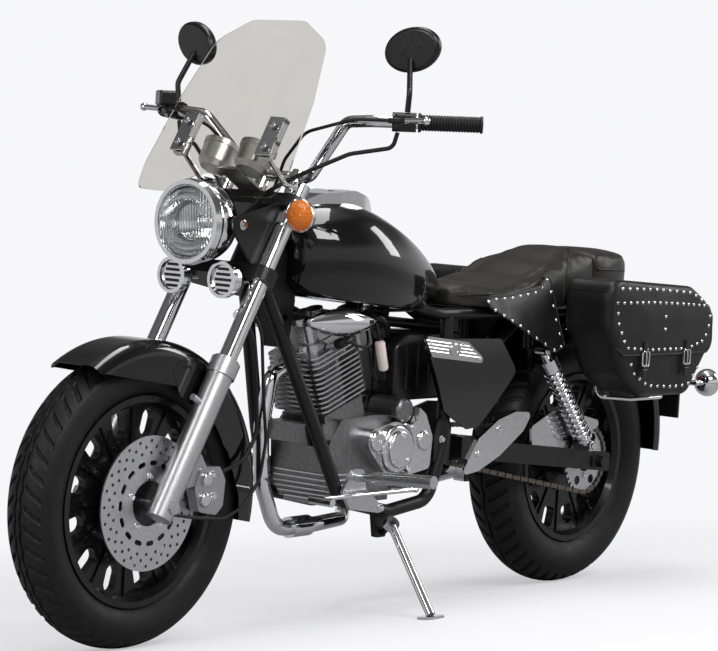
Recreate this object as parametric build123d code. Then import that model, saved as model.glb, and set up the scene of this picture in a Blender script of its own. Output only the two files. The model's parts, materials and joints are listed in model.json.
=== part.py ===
from build123d import *
import math
import os

os.makedirs("parts", exist_ok=True)

# Sizes in mm. X runs forward from the rear axle, Y to the left, Z up from the ground, bike upright.
LEAN_DEG = 7.0
FIT = 0.25
RUN_FIT = 0.05
WALL = 4.0
SHEET = 3.0

# Tyres, rims and brake disc
FRONT_TYRE_R = 302.0
FRONT_TYRE_W = 112.0
FRONT_RIM_R = 206.0
FRONT_RIM_W = 72.0
REAR_TYRE_R = 308.0
REAR_TYRE_W = 132.0
REAR_RIM_R = 195.0
REAR_RIM_W = 88.0
FLANGE_H = 9.0
FLANGE_T = 6.0
RIM_DEPTH = 13.0
SPOKES = 12
SPOKE_W = 12.0
SPOKE_RISE = 4.0
AXLE_R = 9.0
DISC_R = 137.0
DISC_T = 4.0
DISC_BORE = 46.0
DISC_GAP = 24.0

# Steering head and fork
RAKE_DEG = 30.0
FORK_OFFSET = 40.0
HEAD_X = 1180.0
HEAD_Z = 810.5
HEAD_R = 28.0
STEM_R = 14.0
FORK_GAP = 49.0
TUBE_R = 19.0
SLIDER_R = 27.0
SLIDER_TOP = 333.0
LOW_DROP = 83.0
TOP_RISE = 86.0
YOKE_T = 30.0
TUBE_RISE = 29.0

# Swingarm and chain
PIVOT_X = 640.0
PIVOT_Z = 377.0
ARM_IN = 96.0
ARM_OUT = 124.0
ARM_H = 46.0
CHAIN_Y = 80.0
CHAIN_H = 10.0
SPROCKET_R = 80.0
DRIVE_R = 33.0
DRIVE_X = 705.0
DRIVE_Z = 393.0
PITCH = 15.875
TEETH = 32

# Frame tubes and fender clearances
RAIL_R = 15.0
SEAT_RAIL_R = 13.0
BACKBONE_R = 20.0
REAR_FENDER_GAP = 42.0
REAR_FENDER_RISE = 37.0
FRONT_FENDER_GAP = 23.0

# Headlight, handlebar and screen
LAMP_R = 86.0
LAMP_L = 112.0
LAMP_DROP = 57.0
LAMP_AHEAD = 164.0
BAR_R = 12.7
BAR_RISE = 90.0
GRIP_R = 16.5
SCREEN_T = 4.0
SCREEN_BEND = 2000.0
SCREEN_BACK = 45.0
SCREEN_RISE = 66.0
SCREEN_SLOPE = 0.59

# Luggage
BAG_IN = 150.0
BAG_OUT = 281.0
LID_DEPTH = 32.0
FLAP_T = 5.0
FLAP_LOW = 580.0

RAKE = math.radians(RAKE_DEG)
LEAN = math.radians(LEAN_DEG)
UP = Vector(-math.sin(RAKE), 0, math.cos(RAKE))
AHEAD = Vector(math.cos(RAKE), 0, math.sin(RAKE))
FORK_Y = FRONT_TYRE_W / 2 + FORK_GAP
HEAD = Vector(HEAD_X, 0, HEAD_Z)
DOWN = (HEAD_Z + FORK_OFFSET * AHEAD.Z - FRONT_TYRE_R) / UP.Z
LOW_YOKE = DOWN - LOW_DROP
TOP_YOKE = DOWN + TOP_RISE
TUBE_TOP = TOP_YOKE + TUBE_RISE
FRONT_AXLE = HEAD + AHEAD * FORK_OFFSET - UP * DOWN
REAR_AXLE = Vector(0, 0, REAR_TYRE_R)
MIN_Z = (Align.CENTER, Align.CENTER, Align.MIN)


def fork(along, ahead=0.0, y=0.0):
    # A point measured up the fork leg from the front axle
    return FRONT_AXLE + UP * along + AHEAD * ahead + Vector(0, y, 0)


def rod(a, b, radius):
    start = Vector(a)
    run = Vector(b) - start
    return Plane(origin=start, z_dir=run) * Cylinder(radius, run.length, align=MIN_Z)


def pipe(points, bends, radius):
    path = FilletPolyline(*points, radius=bends)
    return sweep(Plane(origin=path @ 0, z_dir=path % 0) * Circle(radius), path=path)


def outline(points, radius):
    return make_face(FilletPolyline(*points, radius=radius, close=True))


def side_face(face, y0, y1):
    # A sketch in X and Z, from y0 to y1
    return extrude(Plane(origin=(0, y1, 0), x_dir=(1, 0, 0), z_dir=(0, -1, 0)) * face, y1 - y0)


def side_plate(points, y0, y1, radius):
    return side_face(outline(points, radius), y0, y1)


def level_plate(points, z0, z1, radius):
    return extrude(Plane.XY.offset(z0) * outline(points, radius), z1 - z0)


def spun(points, axle):
    # A closed profile of (y, radius) points turned about an axle along Y
    face = Plane.YZ * make_face(Polyline(*points, close=True))
    return Pos(axle) * revolve(face, Axis.Y)


def domed(x, z, y0, y1, radius, edge):
    # A round cover on an axis along Y with a rounded outer edge
    turn = edge * (1 - math.sqrt(0.5))
    lines = [
        Line((y0, 0), (y0, radius)),
        Line((y0, radius), (y1 - edge, radius)),
        ThreePointArc((y1 - edge, radius), (y1 - turn, radius - turn), (y1, radius - edge)),
        Line((y1, radius - edge), (y1, 0)),
        Line((y1, 0), (y0, 0)),
    ]
    return Pos(x, 0, z) * revolve(Plane.YZ * make_face(lines), Axis.Y)


def block(x, y, z):
    # A box from three (low, high) pairs
    size = Box(x[1] - x[0], y[1] - y[0], z[1] - z[0])
    return Pos((x[0] + x[1]) / 2, (y[0] + y[1]) / 2, (z[0] + z[1]) / 2) * size


def right(part):
    return mirror(part, about=Plane.XZ)


def pair(part):
    return Compound(list(part.solids()) + list(right(part).solids()))


def group(*parts):
    return Compound([solid for part in parts for solid in part.solids()])


def main_solid(part):
    return max(part.solids(), key=lambda solid: solid.volume)


def tyre(axle, width, radius, rim_r, rim_w):
    bead = rim_w / 2 - FIT
    seat = rim_r + FIT
    side = width / 2
    lip = seat + FLANGE_H
    middle = (seat + radius) / 2
    edge = 0.86 * side
    edge_r = radius - 0.42 * edge
    lines = [
        Line((-bead, seat), (bead, seat)),
        Line((bead, seat), (bead, lip)),
        ThreePointArc((bead, lip), (side, middle), (edge, edge_r)),
        ThreePointArc((edge, edge_r), (0, radius), (-edge, edge_r)),
        ThreePointArc((-edge, edge_r), (-side, middle), (-bead, lip)),
        Line((-bead, lip), (-bead, seat)),
    ]
    return Pos(axle) * revolve(Plane.YZ * make_face(lines), Axis.Y)


def rim(axle, rim_r, rim_w, web, window, hub):
    # Barrel with two flanges, a web with windows and raised spokes, and a hub of (from, to, radius) steps
    half = rim_w / 2
    well = rim_r - RIM_DEPTH
    rings = [
        (half + FLANGE_T, rim_r + FLANGE_H),
        (half, rim_r + FLANGE_H),
        (half, rim_r),
        (-half, rim_r),
        (-half, rim_r + FLANGE_H),
        (-half - FLANGE_T, rim_r + FLANGE_H),
        (-half - FLANGE_T, rim_r - 4),
        (-half + 8, well),
        (half - 8, well),
        (half + FLANGE_T, rim_r - 4),
    ]
    cut_r, shape = window
    step = 360 / SPOKES
    face = Circle(well + 4) - [place * shape for place in PolarLocations(cut_r, SPOKES, step / 2)]
    spoke_r = well / 2 + 20
    bars = [place * Rectangle(well - 36, SPOKE_W) for place in PolarLocations(spoke_r, SPOKES)]
    body = spun(rings, axle)
    body += Pos(axle) * side_face(face, -web, web)
    body += Pos(axle) * side_face(Sketch() + bars, -web - SPOKE_RISE, web + SPOKE_RISE)
    for y0, y1, radius in hub:
        body += Pos(axle) * rod((0, y0, 0), (0, y1, 0), radius)
    return body - Pos(axle) * rod((0, -200, 0), (0, 200, 0), AXLE_R + RUN_FIT)


NODES = {}

# Wheels
NODES["front_tyre"] = tyre(FRONT_AXLE, FRONT_TYRE_W, FRONT_TYRE_R, FRONT_RIM_R, FRONT_RIM_W)
NODES["rear_tyre"] = tyre(REAR_AXLE, REAR_TYRE_W, REAR_TYRE_R, REAR_RIM_R, REAR_RIM_W)
DISC_Y = FRONT_RIM_W / 2 + DISC_GAP
FRONT_HUB = [(2 - DISC_Y, DISC_Y, 34), (-20, 20, 62), (20, DISC_Y, DISC_BORE + 14)]
FRONT_WINDOW = (FRONT_RIM_R - 45, SlotOverall(56, 34))
NODES["front_rim"] = rim(FRONT_AXLE, FRONT_RIM_R, FRONT_RIM_W, 9, FRONT_WINDOW, FRONT_HUB)
disc_face = Circle(DISC_R) - Circle(DISC_BORE)
# Holes of the disc: (rings' radius from the edge, count, half step)
for inset, count, turned in ((10, 24, 0), (22, 24, 0.5), (34, 24, 0)):
    places = PolarLocations(DISC_R - inset, count, turned * 360 / count)
    disc_face -= [place * Circle(3.5) for place in places]
slot = Rot(0, 0, 90) * SlotOverall(21, 10)
disc_face -= [place * slot for place in PolarLocations((DISC_R + DISC_BORE) / 2 - 10, 15)]
NODES["front_disc"] = Pos(FRONT_AXLE) * side_face(disc_face, DISC_Y + FIT, DISC_Y + FIT + DISC_T)
CARRIER_Y = CHAIN_Y - 3
SPROCKET_T = 5.0
REAR_HUB = [(-84, 0, 78), (-20, 20, 84), (0, CARRIER_Y, 46)]
REAR_WINDOW = (REAR_RIM_R - 44, RectangleRounded(48, 42, 10))
NODES["rear_rim"] = rim(REAR_AXLE, REAR_RIM_R, REAR_RIM_W, 11, REAR_WINDOW, REAR_HUB)
ROLLER_R = 4.2
teeth = [place * Circle(ROLLER_R) for place in PolarLocations(SPROCKET_R, TEETH)]
sprocket_face = Circle(SPROCKET_R + 4) - Circle(30) - teeth
sprocket_face -= [place * Circle(11) for place in PolarLocations(SPROCKET_R - 22, 6)]
NODES["rear_sprocket"] = Pos(REAR_AXLE) * side_face(
    sprocket_face, CARRIER_Y + FIT, CARRIER_Y + FIT + SPROCKET_T
)

# Chain: two rows of link plates outside the teeth, joined by rollers along the straight runs
PLATE_T = 2.0
PLATE_GAP = 4.5
MID_Y = CARRIER_Y + FIT + SPROCKET_T / 2
CHAIN_OUT = MID_Y + PLATE_GAP + PLATE_T


def chain_loop(grow):
    # The outline round both sprockets, grown from the pitch line
    big = Pos(REAR_AXLE.X, REAR_AXLE.Z) * Circle(SPROCKET_R + grow)
    small = Pos(DRIVE_X, DRIVE_Z) * Circle(DRIVE_R + grow)
    return make_hull((big.edges() + small.edges()))


chain_face = chain_loop(CHAIN_H / 2) - chain_loop(-CHAIN_H / 2)
chain = side_face(chain_face, MID_Y - PLATE_GAP - PLATE_T, MID_Y - PLATE_GAP)
chain += side_face(chain_face, MID_Y + PLATE_GAP, CHAIN_OUT)
run = Vector(DRIVE_X, 0, DRIVE_Z) - REAR_AXLE
lean_in = math.asin((SPROCKET_R - DRIVE_R) / run.length)
rollers = []
for side in (1, -1):
    tilt = math.atan2(run.Z, run.X) - side * lean_in
    normal = Vector(-math.sin(tilt), 0, math.cos(tilt)) * side
    start = REAR_AXLE + normal * SPROCKET_R
    finish = Vector(DRIVE_X, 0, DRIVE_Z) + normal * DRIVE_R
    count = int((finish - start).length / PITCH)
    for step in range(3, count):
        at = start + (finish - start) * (step / count)
        rollers.append(Pos(at.X, at.Z) * RegularPolygon(ROLLER_R - 0.6, 6))
chain += side_face(Sketch() + rollers, MID_Y - PLATE_GAP - 0.5, MID_Y + PLATE_GAP + 0.5)
NODES["drive_chain"] = chain

# Frame: head, backbone, two cradles and two seat rails
HEAD_LOW = fork(LOW_YOKE + YOKE_T / 2 + 5, -FORK_OFFSET)
HEAD_TOP = fork(TOP_YOKE - YOKE_T / 2 - 5, -FORK_OFFSET)
SPINE_FRONT = Vector(HEAD_X - 15, 0, HEAD_Z - 8)
SPINE_REAR = Vector(590, 0, 688)
CRADLE_Y = 105.0
CRADLE_Z = 240.0
DOWN_X = 1030.0
DOWN_Y = 85.0
DOWN_Z = 420.0
LOOP_Y = 112.0
cradle = pipe(
    [
        HEAD_LOW + UP * 50 + Vector(0, 14, 0),
        (DOWN_X, DOWN_Y, DOWN_Z),
        (965, CRADLE_Y, 275),
        (800, CRADLE_Y, CRADLE_Z),
        (665, LOOP_Y, 258),
        (618, LOOP_Y, 380),
        (600, 92, 668),
    ],
    [120, 50, 60, 50, 90],
    RAIL_R,
)
RAIL_Y = 95.0
RAIL_Z = 672.0
REAR_RAIL_Z = 690.0
RAIL_END = -170.0
seat_rail = pipe(
    [
        (770, 8, 722),
        (650, RAIL_Y, RAIL_Z),
        (160, RAIL_Y, RAIL_Z),
        (60, RAIL_Y, REAR_RAIL_Z),
        (RAIL_END, RAIL_Y, REAR_RAIL_Z),
    ],
    [60, 60, 60],
    SEAT_RAIL_R,
)
stay = pipe([(612, LOOP_Y - 8, 470), (480, RAIL_Y + 6, 560), (300, RAIL_Y, RAIL_Z)], 60, 11)
MOUNT_IN = 66.0
mount = side_plate([(985, 392), (1034, 392), (1050, 440), (1000, 440)], MOUNT_IN, MOUNT_IN + 8, 8)
pivot_plate = side_plate(
    [(600, 340), (654, 340), (658, 400), (645, 440), (595, 430)], LOOP_Y - 12, LOOP_Y + 6, 12
)
half_frame = cradle + seat_rail + stay + mount + pivot_plate
frame = rod(HEAD_LOW, HEAD_TOP, HEAD_R) + rod(SPINE_FRONT, SPINE_REAR, BACKBONE_R)
frame += half_frame
frame += right(half_frame)
frame += rod((600, -92, 640), (600, 92, 640), 12)
FENDER_R = REAR_TYRE_R + REAR_FENDER_GAP
FENDER_Z = REAR_TYRE_R + REAR_FENDER_RISE
FENDER_W = REAR_TYRE_W / 2 + 13
BRIDGE_R = 6.0
for lean_back in (16.0, -25.0):
    turn = math.radians(lean_back)
    reach = FENDER_R + SHEET + BRIDGE_R + FIT
    bridge = Vector(-reach * math.sin(turn), 0, FENDER_Z + reach * math.cos(turn))
    frame += rod(bridge - Vector(0, RAIL_Y, 0), bridge + Vector(0, RAIL_Y, 0), BRIDGE_R)
# Gusset plate behind the head, with its lightening hole
GUSSET_Y = 24.0
NECK = [(1120, 835), (1170, 750), (1092, 600), (1066, 602), (1052, 700), (1058, 778)]
frame += side_plate(NECK, -GUSSET_Y, GUSSET_Y, 10)
frame -= rod((1082, -GUSSET_Y - 10, 664), (1082, GUSSET_Y + 10, 664), 8)
frame -= rod(HEAD_LOW - UP * 40, HEAD_TOP + UP * 40, STEM_R + RUN_FIT)

# Swingarm with the rear axle and pivot bolt
LUG_OUT = LOOP_Y - RAIL_R - FIT
slope = (PIVOT_Z - REAR_AXLE.Z) / (PIVOT_X - REAR_AXLE.X)


def arm_z(x):
    return REAR_AXLE.Z + slope * (x - REAR_AXLE.X)


ARM_FRONT = 560.0
ARM_TAIL = -45.0
arm = side_plate(
    [
        (ARM_FRONT, arm_z(ARM_FRONT) + ARM_H / 2),
        (ARM_FRONT, arm_z(ARM_FRONT) - ARM_H / 2),
        (ARM_TAIL, arm_z(ARM_TAIL) - ARM_H / 2),
        (ARM_TAIL, arm_z(ARM_TAIL) + ARM_H / 2),
    ],
    ARM_IN,
    ARM_OUT,
    8,
)
SHOCK_Y = ARM_OUT + 14
COIL_R = 23.0
SHOCK_LOW = Vector(80, SHOCK_Y, 352)
SHOCK_TOP = Vector(286, SHOCK_Y, 586)
EYE_R = 13.0
EYE_HALF = 13.0
STUD_R = 6.0
horn = side_plate(
    [(45, 320), (120, 325), (98, 372), (62, 372)], ARM_OUT - 10, SHOCK_Y - EYE_HALF - FIT, 8
)
arm += horn + rod(SHOCK_LOW - Vector(0, SHOCK_Y - ARM_OUT, 0), SHOCK_LOW + Vector(0, 16, 0), STUD_R)
LUG_IN = 64.0
lug = side_plate([(540, 345), (PIVOT_X, 357), (PIVOT_X, 397), (540, 397)], LUG_IN, 94, 4)
lug += rod((PIVOT_X, LUG_IN, PIVOT_Z), (PIVOT_X, LUG_OUT, PIVOT_Z), 20)
# Chain adjuster plate, collar and hexagon nut on the axle's end
nut = side_face(Pos(REAR_AXLE.X, REAR_AXLE.Z) * RegularPolygon(16, 6), ARM_OUT, ARM_OUT + 16)
adjuster = side_plate([(-38, 292), (34, 296), (34, 322), (-38, 318)], ARM_OUT - 1, ARM_OUT + 4, 5)
half_arm = arm + lug + nut + adjuster
swingarm = half_arm + right(half_arm)
swingarm += block((528, ARM_FRONT), (-ARM_OUT, ARM_OUT), (346, 394))
swingarm += rod((PIVOT_X, -LUG_IN, PIVOT_Z), (PIVOT_X, LUG_IN, PIVOT_Z), 18)
swingarm += rod(REAR_AXLE - Vector(0, ARM_OUT, 0), REAR_AXLE + Vector(0, ARM_OUT, 0), AXLE_R)
NODES["swingarm"] = swingarm

# Shock absorbers: a damper with the coil's turns round it, between two eyes
run = SHOCK_TOP - SHOCK_LOW
along = run.normalized()
ROD_R = 11.0
CORE_R = 15.0
TURNS = 12
TURN_HALF = 5.0
COIL_FROM = 46.0
COIL_TO = run.length - 72
# Half profile of (radius, distance from the lower eye), with an arc for each turn
below = [
    (0, 8), (ROD_R, 8), (ROD_R, 26), (COIL_R, 26), (COIL_R, 34), (CORE_R, 34), (CORE_R, COIL_FROM - TURN_HALF)
]
over = [
    (CORE_R, COIL_TO + TURN_HALF), (CORE_R, run.length - 60), (COIL_R, run.length - 60),
    (COIL_R, run.length - 26), (ROD_R, run.length - 26), (ROD_R, run.length - 8), (0, run.length - 8),
]
edges = [Polyline(*below), Polyline(*over), Line(over[-1], below[0])]
turn_pitch = (COIL_TO - COIL_FROM) / (TURNS - 1)
for step in range(TURNS):
    level = COIL_FROM + step * turn_pitch
    top = (CORE_R, level + TURN_HALF)
    edges.append(ThreePointArc((CORE_R, level - TURN_HALF), (COIL_R, level), top))
    if step < TURNS - 1:
        edges.append(Line(top, (CORE_R, level + turn_pitch - TURN_HALF)))
shock = Plane(origin=SHOCK_LOW, z_dir=along) * revolve(Plane.XZ * make_face(edges), Axis.Z)
for end in (SHOCK_LOW, SHOCK_TOP):
    half = Vector(0, EYE_HALF, 0)
    shock += rod(end - half, end + half, EYE_R)
    shock -= rod(end - half * 2, end + half * 2, STUD_R + FIT)
NODES["shock_absorbers"] = pair(shock)
shock_stud = rod(SHOCK_TOP - Vector(0, SHOCK_Y - RAIL_Y, 0), SHOCK_TOP + Vector(0, 16, 0), STUD_R)
shock_stud += rod((SHOCK_TOP.X, RAIL_Y, SHOCK_TOP.Z), (SHOCK_TOP.X, RAIL_Y, RAIL_Z), 11)
frame += shock_stud
frame += right(shock_stud)

# Engine: case, covers, finned cylinder and head
CASE_Y = 84.0
CASE_CUT = 62.0
CASE = [
    (690, 300), (760, 262), (940, 262), (974, 300), (982, 400), (945, 446), (840, 452), (700, 446), (672, 400)
]
case = side_plate(CASE, -CASE_Y, CASE_Y, 22)
case -= block((600, 772), (CASE_CUT, 200), (200, 500))
lug_front = block((960, 1022), (-MOUNT_IN + FIT, MOUNT_IN - FIT), (394, 436))
case += lug_front - rod((1040, -90, 330), (1040, 90, 330), 30)
# Cooling ribs across the sump
for x in range(790, 941, 25):
    case += block((x, x + 5), (-70, 70), (254, 270))
CYL_TILT = 20.0
tilt = math.radians(CYL_TILT)
CYL = Plane(
    origin=(900, 0, 430),
    x_dir=(math.cos(tilt), 0, -math.sin(tilt)),
    z_dir=(math.sin(tilt), 0, math.cos(tilt)),
)
DECK = 45.0
case += CYL * Pos(0, 0, DECK - 50) * Box(130, 120, 50, align=MIN_Z)
case += rod(
    (DRIVE_X, CASE_CUT - 4, DRIVE_Z), (DRIVE_X, MID_Y + 2.5, DRIVE_Z), DRIVE_R - CHAIN_H / 2 - FIT
)
STARTER = (748, 460)
STARTER_R = 29.0
starter_foot = Vector(STARTER[0], 18, STARTER[1] - 24)
case += domed(*STARTER, 20, 108, STARTER_R, 12)
case += rod(starter_foot, starter_foot + Vector(0, 42, 0), 22)
NODES["engine_case"] = case
FIN_PITCH = 11.0
FIN_T = 3.5
FINS = 12
# Stack of the cylinder: (from, to, length along X, width, corner)
STACK = [(0, 112, 104, 104, 40), (112, 160, 120, 112, 20), (160, 202, 104, 96, 16)]
cylinder = Part()
for low, high, long, wide, corner in STACK:
    cylinder += Pos(0, 0, DECK + FIT + low) * extrude(RectangleRounded(long, wide, corner), high - low)
for step in range(FINS):
    level = DECK + FIT + 14 + step * FIN_PITCH
    wide = 150 if step < 9 else 140
    cylinder += Pos(0, 0, level) * extrude(RectangleRounded(wide + 14, wide, 22), FIN_T)
PORT_LEVEL = DECK + 120
PORT_REACH = 84.0
cylinder += Pos(0, 0, PORT_LEVEL) * Rot(0, 90, 0) * Cylinder(25, 2 * PORT_REACH)
# Camshaft cap, tappet caps and spark plug
cap_level = DECK + 176
CAP_HALF = 52.0
cylinder += Pos(0, 0, cap_level) * Rot(90, 0, 0) * Cylinder(30, 2 * CAP_HALF)
for x in (-30, 30):
    cylinder += Pos(x, 0, DECK + 196) * Cylinder(20, 16, align=MIN_Z)
cylinder += Pos(10, 60, DECK + 142) * Rot(-70, 0, 0) * Cylinder(9, 36, align=MIN_Z)
NODES["cylinder"] = CYL * cylinder
# Generator cover: a lobed base, a stepped dome and its cap
GEN = (793, 379)
GEN_R = 54.0
lobe_a = Pos(GEN) * Circle(GEN_R + 5)
lobe_b = Pos(856, 398) * Circle(28)
lobes = make_hull(lobe_a.edges() + lobe_b.edges())
gen = side_face(lobes, CASE_Y + FIT, 112)
gen += domed(*GEN, 100, 128, GEN_R, 9)
gen += domed(*GEN, 110, 137, GEN_R - 12, 6)
gen += domed(856, 398, 100, 122, 24, 8)
gen -= rod((DRIVE_X, 60, DRIVE_Z), (DRIVE_X, CHAIN_OUT + 3, DRIVE_Z), DRIVE_R + CHAIN_H / 2 + 3)
COVER = [(672, 330), (752, 318), (764, 440), (722, 470), (694, 452), (666, 400)]
COVER_LOW = 104.0
sprocket_cover = side_plate(COVER, COVER_LOW, 120, 14)
sprocket_cover += domed(698, 393, COVER_LOW, 128, 22, 6)
for x, z in ((748, 330), (742, 425)):
    sprocket_cover += rod((x, CASE_CUT + FIT, z), (x, COVER_LOW + 5, z), 8)
sprocket_cover -= side_face(lobes, 60, 200)
sprocket_cover -= rod((GEN[0], 60, GEN[1]), (GEN[0], 200, GEN[1]), GEN_R + 6)
sprocket_cover -= Pos(0, FIT, 0) * domed(*STARTER, 20, 130, STARTER_R + FIT, 12)
sprocket_cover = main_solid(sprocket_cover)
CLUTCH = (815, 366)
clutch = domed(*CLUTCH, CASE_Y + FIT, 126, 80, 12)
clutch += domed(*CLUTCH, 110, 140, 56, 9)
NODES["engine_covers"] = group(gen, sprocket_cover, right(clutch))
# Carburettor behind the head with its bowl, and the air box behind it
intake = CYL * (Pos(-PORT_REACH - FIT, 0, PORT_LEVEL) * Rot(0, -90, 0) * Cylinder(20, 44, align=MIN_Z))
carb = CYL * (Pos(-146, 0, PORT_LEVEL - 42) * extrude(RectangleRounded(56, 62, 14), 40))
carb += CYL * (Pos(-146, 0, PORT_LEVEL - 6) * Cylinder(30, 56, align=MIN_Z))
carb += CYL * (Pos(-170, 0, PORT_LEVEL) * Rot(0, -90, 0) * Cylinder(24, 30, align=MIN_Z))
NODES["carburettor"] = carb + intake
# Chrome teardrop covers beside the head
POD = Vector(986, 104, 660)
POD_L = 110.0
POD_R = 30.0
POD_END = 8.0
arc = ThreePointArc((-POD_L, POD_END), (0, POD_R), (POD_L, POD_END))
ends = Polyline((POD_L, POD_END), (POD_L, 0), (-POD_L, 0), (-POD_L, POD_END))
pod = Pos(POD) * revolve(make_face([arc, ends]), Axis.X)
pod += CYL * rod((0, CAP_HALF + FIT, cap_level + 10), (0, 100, cap_level + 10), 12)
NODES["intake_covers"] = pair(pod)

# Exhaust: header in front, pipe below, tapered muffler on the right
PORT = CYL.from_local_coords(Vector(PORT_REACH + FIT, 0, PORT_LEVEL))
PIPE_R = 17.0
header = pipe(
    [
        PORT,
        PORT + Vector(55, 0, -20),
        (1112, 0, 430),
        (1103, 0, 310),
        (1052, 0, 206),
        (900, -14, 204),
        (740, -70, 198),
        (590, -182, 226),
        (480, -190, 262),
    ],
    [30, 80, 80, 60, 120, 90, 90],
    PIPE_R,
)
MUFFLER_A = Vector(560, -189, 246)
MUFFLER_B = Vector(-250, -196, 322)
MUFFLER_R = 42.0
run = MUFFLER_B - MUFFLER_A
# Profile of the muffler: (distance along it, radius), with the outlet cut back
PROFILE = [
    (0, 0), (0, PIPE_R + 1), (110, MUFFLER_R), (run.length - 120, MUFFLER_R),
    (run.length - 30, MUFFLER_R - 8), (run.length, MUFFLER_R - 8), (run.length, MUFFLER_R - 13),
    (run.length - 80, MUFFLER_R - 13), (run.length - 80, 0),
]
muffler_face = make_face(Polyline(*PROFILE, close=True))
muffler = Plane(origin=MUFFLER_A, x_dir=run, z_dir=(0, 1, 0)) * revolve(muffler_face, Axis.X)
hanger = side_plate([(150, 240), (210, 240), (200, 340), (165, 340)], -156, -ARM_OUT - FIT, 6)
collar = rod((1002, -4.3, 205.3), (930, -11, 204.4), PIPE_R + 6)
NODES["exhaust"] = header + muffler + hanger + collar

# Fuel tank on the backbone: sections across X of (x, half width, low, high)
TANK = [
    (1086, 44, 748, 862),
    (1020, 118, 710, 905),
    (900, 148, 697, 915),
    (770, 134, 684, 872),
    (660, 96, 690, 812),
    (588, 60, 702, 748),
]


def tank_section(x, half, low, high):
    # Flat floor, bulging sides and a crowned top with rounded shoulders
    middle = low + 0.42 * (high - low)
    shoulder = high - 0.16 * (high - low)
    lines = [
        Line((-0.84 * half, low), (0.84 * half, low)),
        ThreePointArc((0.84 * half, low), (half, middle), (0.74 * half, shoulder)),
        ThreePointArc((0.74 * half, shoulder), (0, high), (-0.74 * half, shoulder)),
        ThreePointArc((-0.74 * half, shoulder), (-half, middle), (-0.84 * half, low)),
    ]
    face = make_face(lines)
    face = fillet(face.vertices().sort_by(Axis.Y)[2:], 0.3 * half)
    face = fillet(face.vertices().sort_by(Axis.Y)[:2], 0.08 * half)
    return Plane(origin=(x, 0, 0), x_dir=(0, 1, 0), z_dir=(1, 0, 0)) * face


tank = loft([tank_section(*row) for row in TANK])
spine = (SPINE_REAR - SPINE_FRONT).normalized()
tunnel = rod(SPINE_FRONT - spine * 60, SPINE_REAR + spine * 60, BACKBONE_R + FIT)
under = [
    (SPINE_FRONT.X + 60, SPINE_FRONT.Z + 60 * 0.2),
    (SPINE_REAR.X - 60, SPINE_REAR.Z - 60 * 0.2),
    (SPINE_REAR.X - 60, 600),
    (SPINE_FRONT.X + 60, 600),
]
tunnel += side_plate(under, -BACKBONE_R - FIT - 8, BACKBONE_R + FIT + 8, 0.5)
tank -= tunnel
NECK_CLEAR = [(1200, 900), (1200, 540), (990, 540), (985, 710), (1020, 790), (1115, 850)]
tank -= side_plate(NECK_CLEAR, -GUSSET_Y - 6, GUSSET_Y + 6, 5)
rail_clear = pipe([(770, 8, 722), (650, RAIL_Y, RAIL_Z), (500, RAIL_Y, RAIL_Z)], 60, SEAT_RAIL_R + FIT)
tank -= rail_clear
tank -= right(rail_clear)
NODES["fuel_tank"] = main_solid(tank)
# Chrome console along the tank's top, with its filler cap
CONSOLE = [(1066, 0), (960, 52), (860, 50), (770, 0), (860, -50), (960, -52)]
CONSOLE_SIDE = [(1080, 884), (1000, 930), (900, 940), (830, 920), (760, 868), (760, 800), (1080, 800)]
console = extrude(Plane.XY.offset(800) * outline(CONSOLE, [20, 60, 60, 20, 60, 60]), 180)
console &= side_plate(CONSOLE_SIDE, -80, 80, [40, 60, 60, 40, 40, 4, 4])
console = max((console - tank).solids(), key=lambda solid: solid.bounding_box().max.Z)
NODES["tank_console"] = console + Pos(905, 0, 930) * Rot(0, 2, 0) * Cylinder(30, 18)

# Seats on the rails
SEAT_LOW = RAIL_Z + SEAT_RAIL_R + FIT
PAD_LOW = REAR_RAIL_Z + SEAT_RAIL_R + FIT
PAD_FRONT = 36.0
SEAT_TOP = [
    (578, SEAT_LOW), (578, 732), (540, 738), (430, 724), (310, 742), (236, 794), (104, 816), (40, 812),
    (40, PAD_LOW), (170, PAD_LOW), (185, SEAT_LOW),
]
SEAT_HALF = 126.0
SEAT_PLAN = [(600, 62), (490, SEAT_HALF), (170, SEAT_HALF), (20, 108)]
seat = side_plate(SEAT_TOP, -200, 200, [6, 12, 30, 120, 60, 80, 60, 12, 6, 6, 6])
plan = SEAT_PLAN + [(x, -y) for x, y in reversed(SEAT_PLAN)]
seat &= level_plate(plan, 600, 900, 24)
NODES["seat"] = seat - Pos(-3, 0, 0) * tank
PAD = [
    (PAD_FRONT, PAD_LOW), (PAD_FRONT, 806), (20, 814), (-150, 808), (-206, 790), (-213, 760), (-180, PAD_LOW)
]
pad = side_plate(PAD, -200, 200, 6)
PAD_PLAN = [(60, 104), (-120, 104), (-214, 80)]
plan = PAD_PLAN + [(x, -y) for x, y in reversed(PAD_PLAN)]
NODES["pillion_seat"] = pad & level_plate(plan, 600, 900, 24)
SKIRT = [(556, 706), (430, 716), (300, 735), (254, 770), (248, 640), (244, 588), (285, 575), (420, 640)]
SKIRT_FLARE = 16.0
SKIRT_TOP = 740.0
skirt = Pos(0, 0, -SKIRT_TOP) * side_plate(SKIRT, 0, 5, 14)
NODES["seat_skirts"] = pair(Pos(0, SEAT_HALF + FIT, SKIRT_TOP) * Rot(SKIRT_FLARE, 0, 0) * skirt - seat)

# Rear fender, tail light, plate holder and signals


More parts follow.
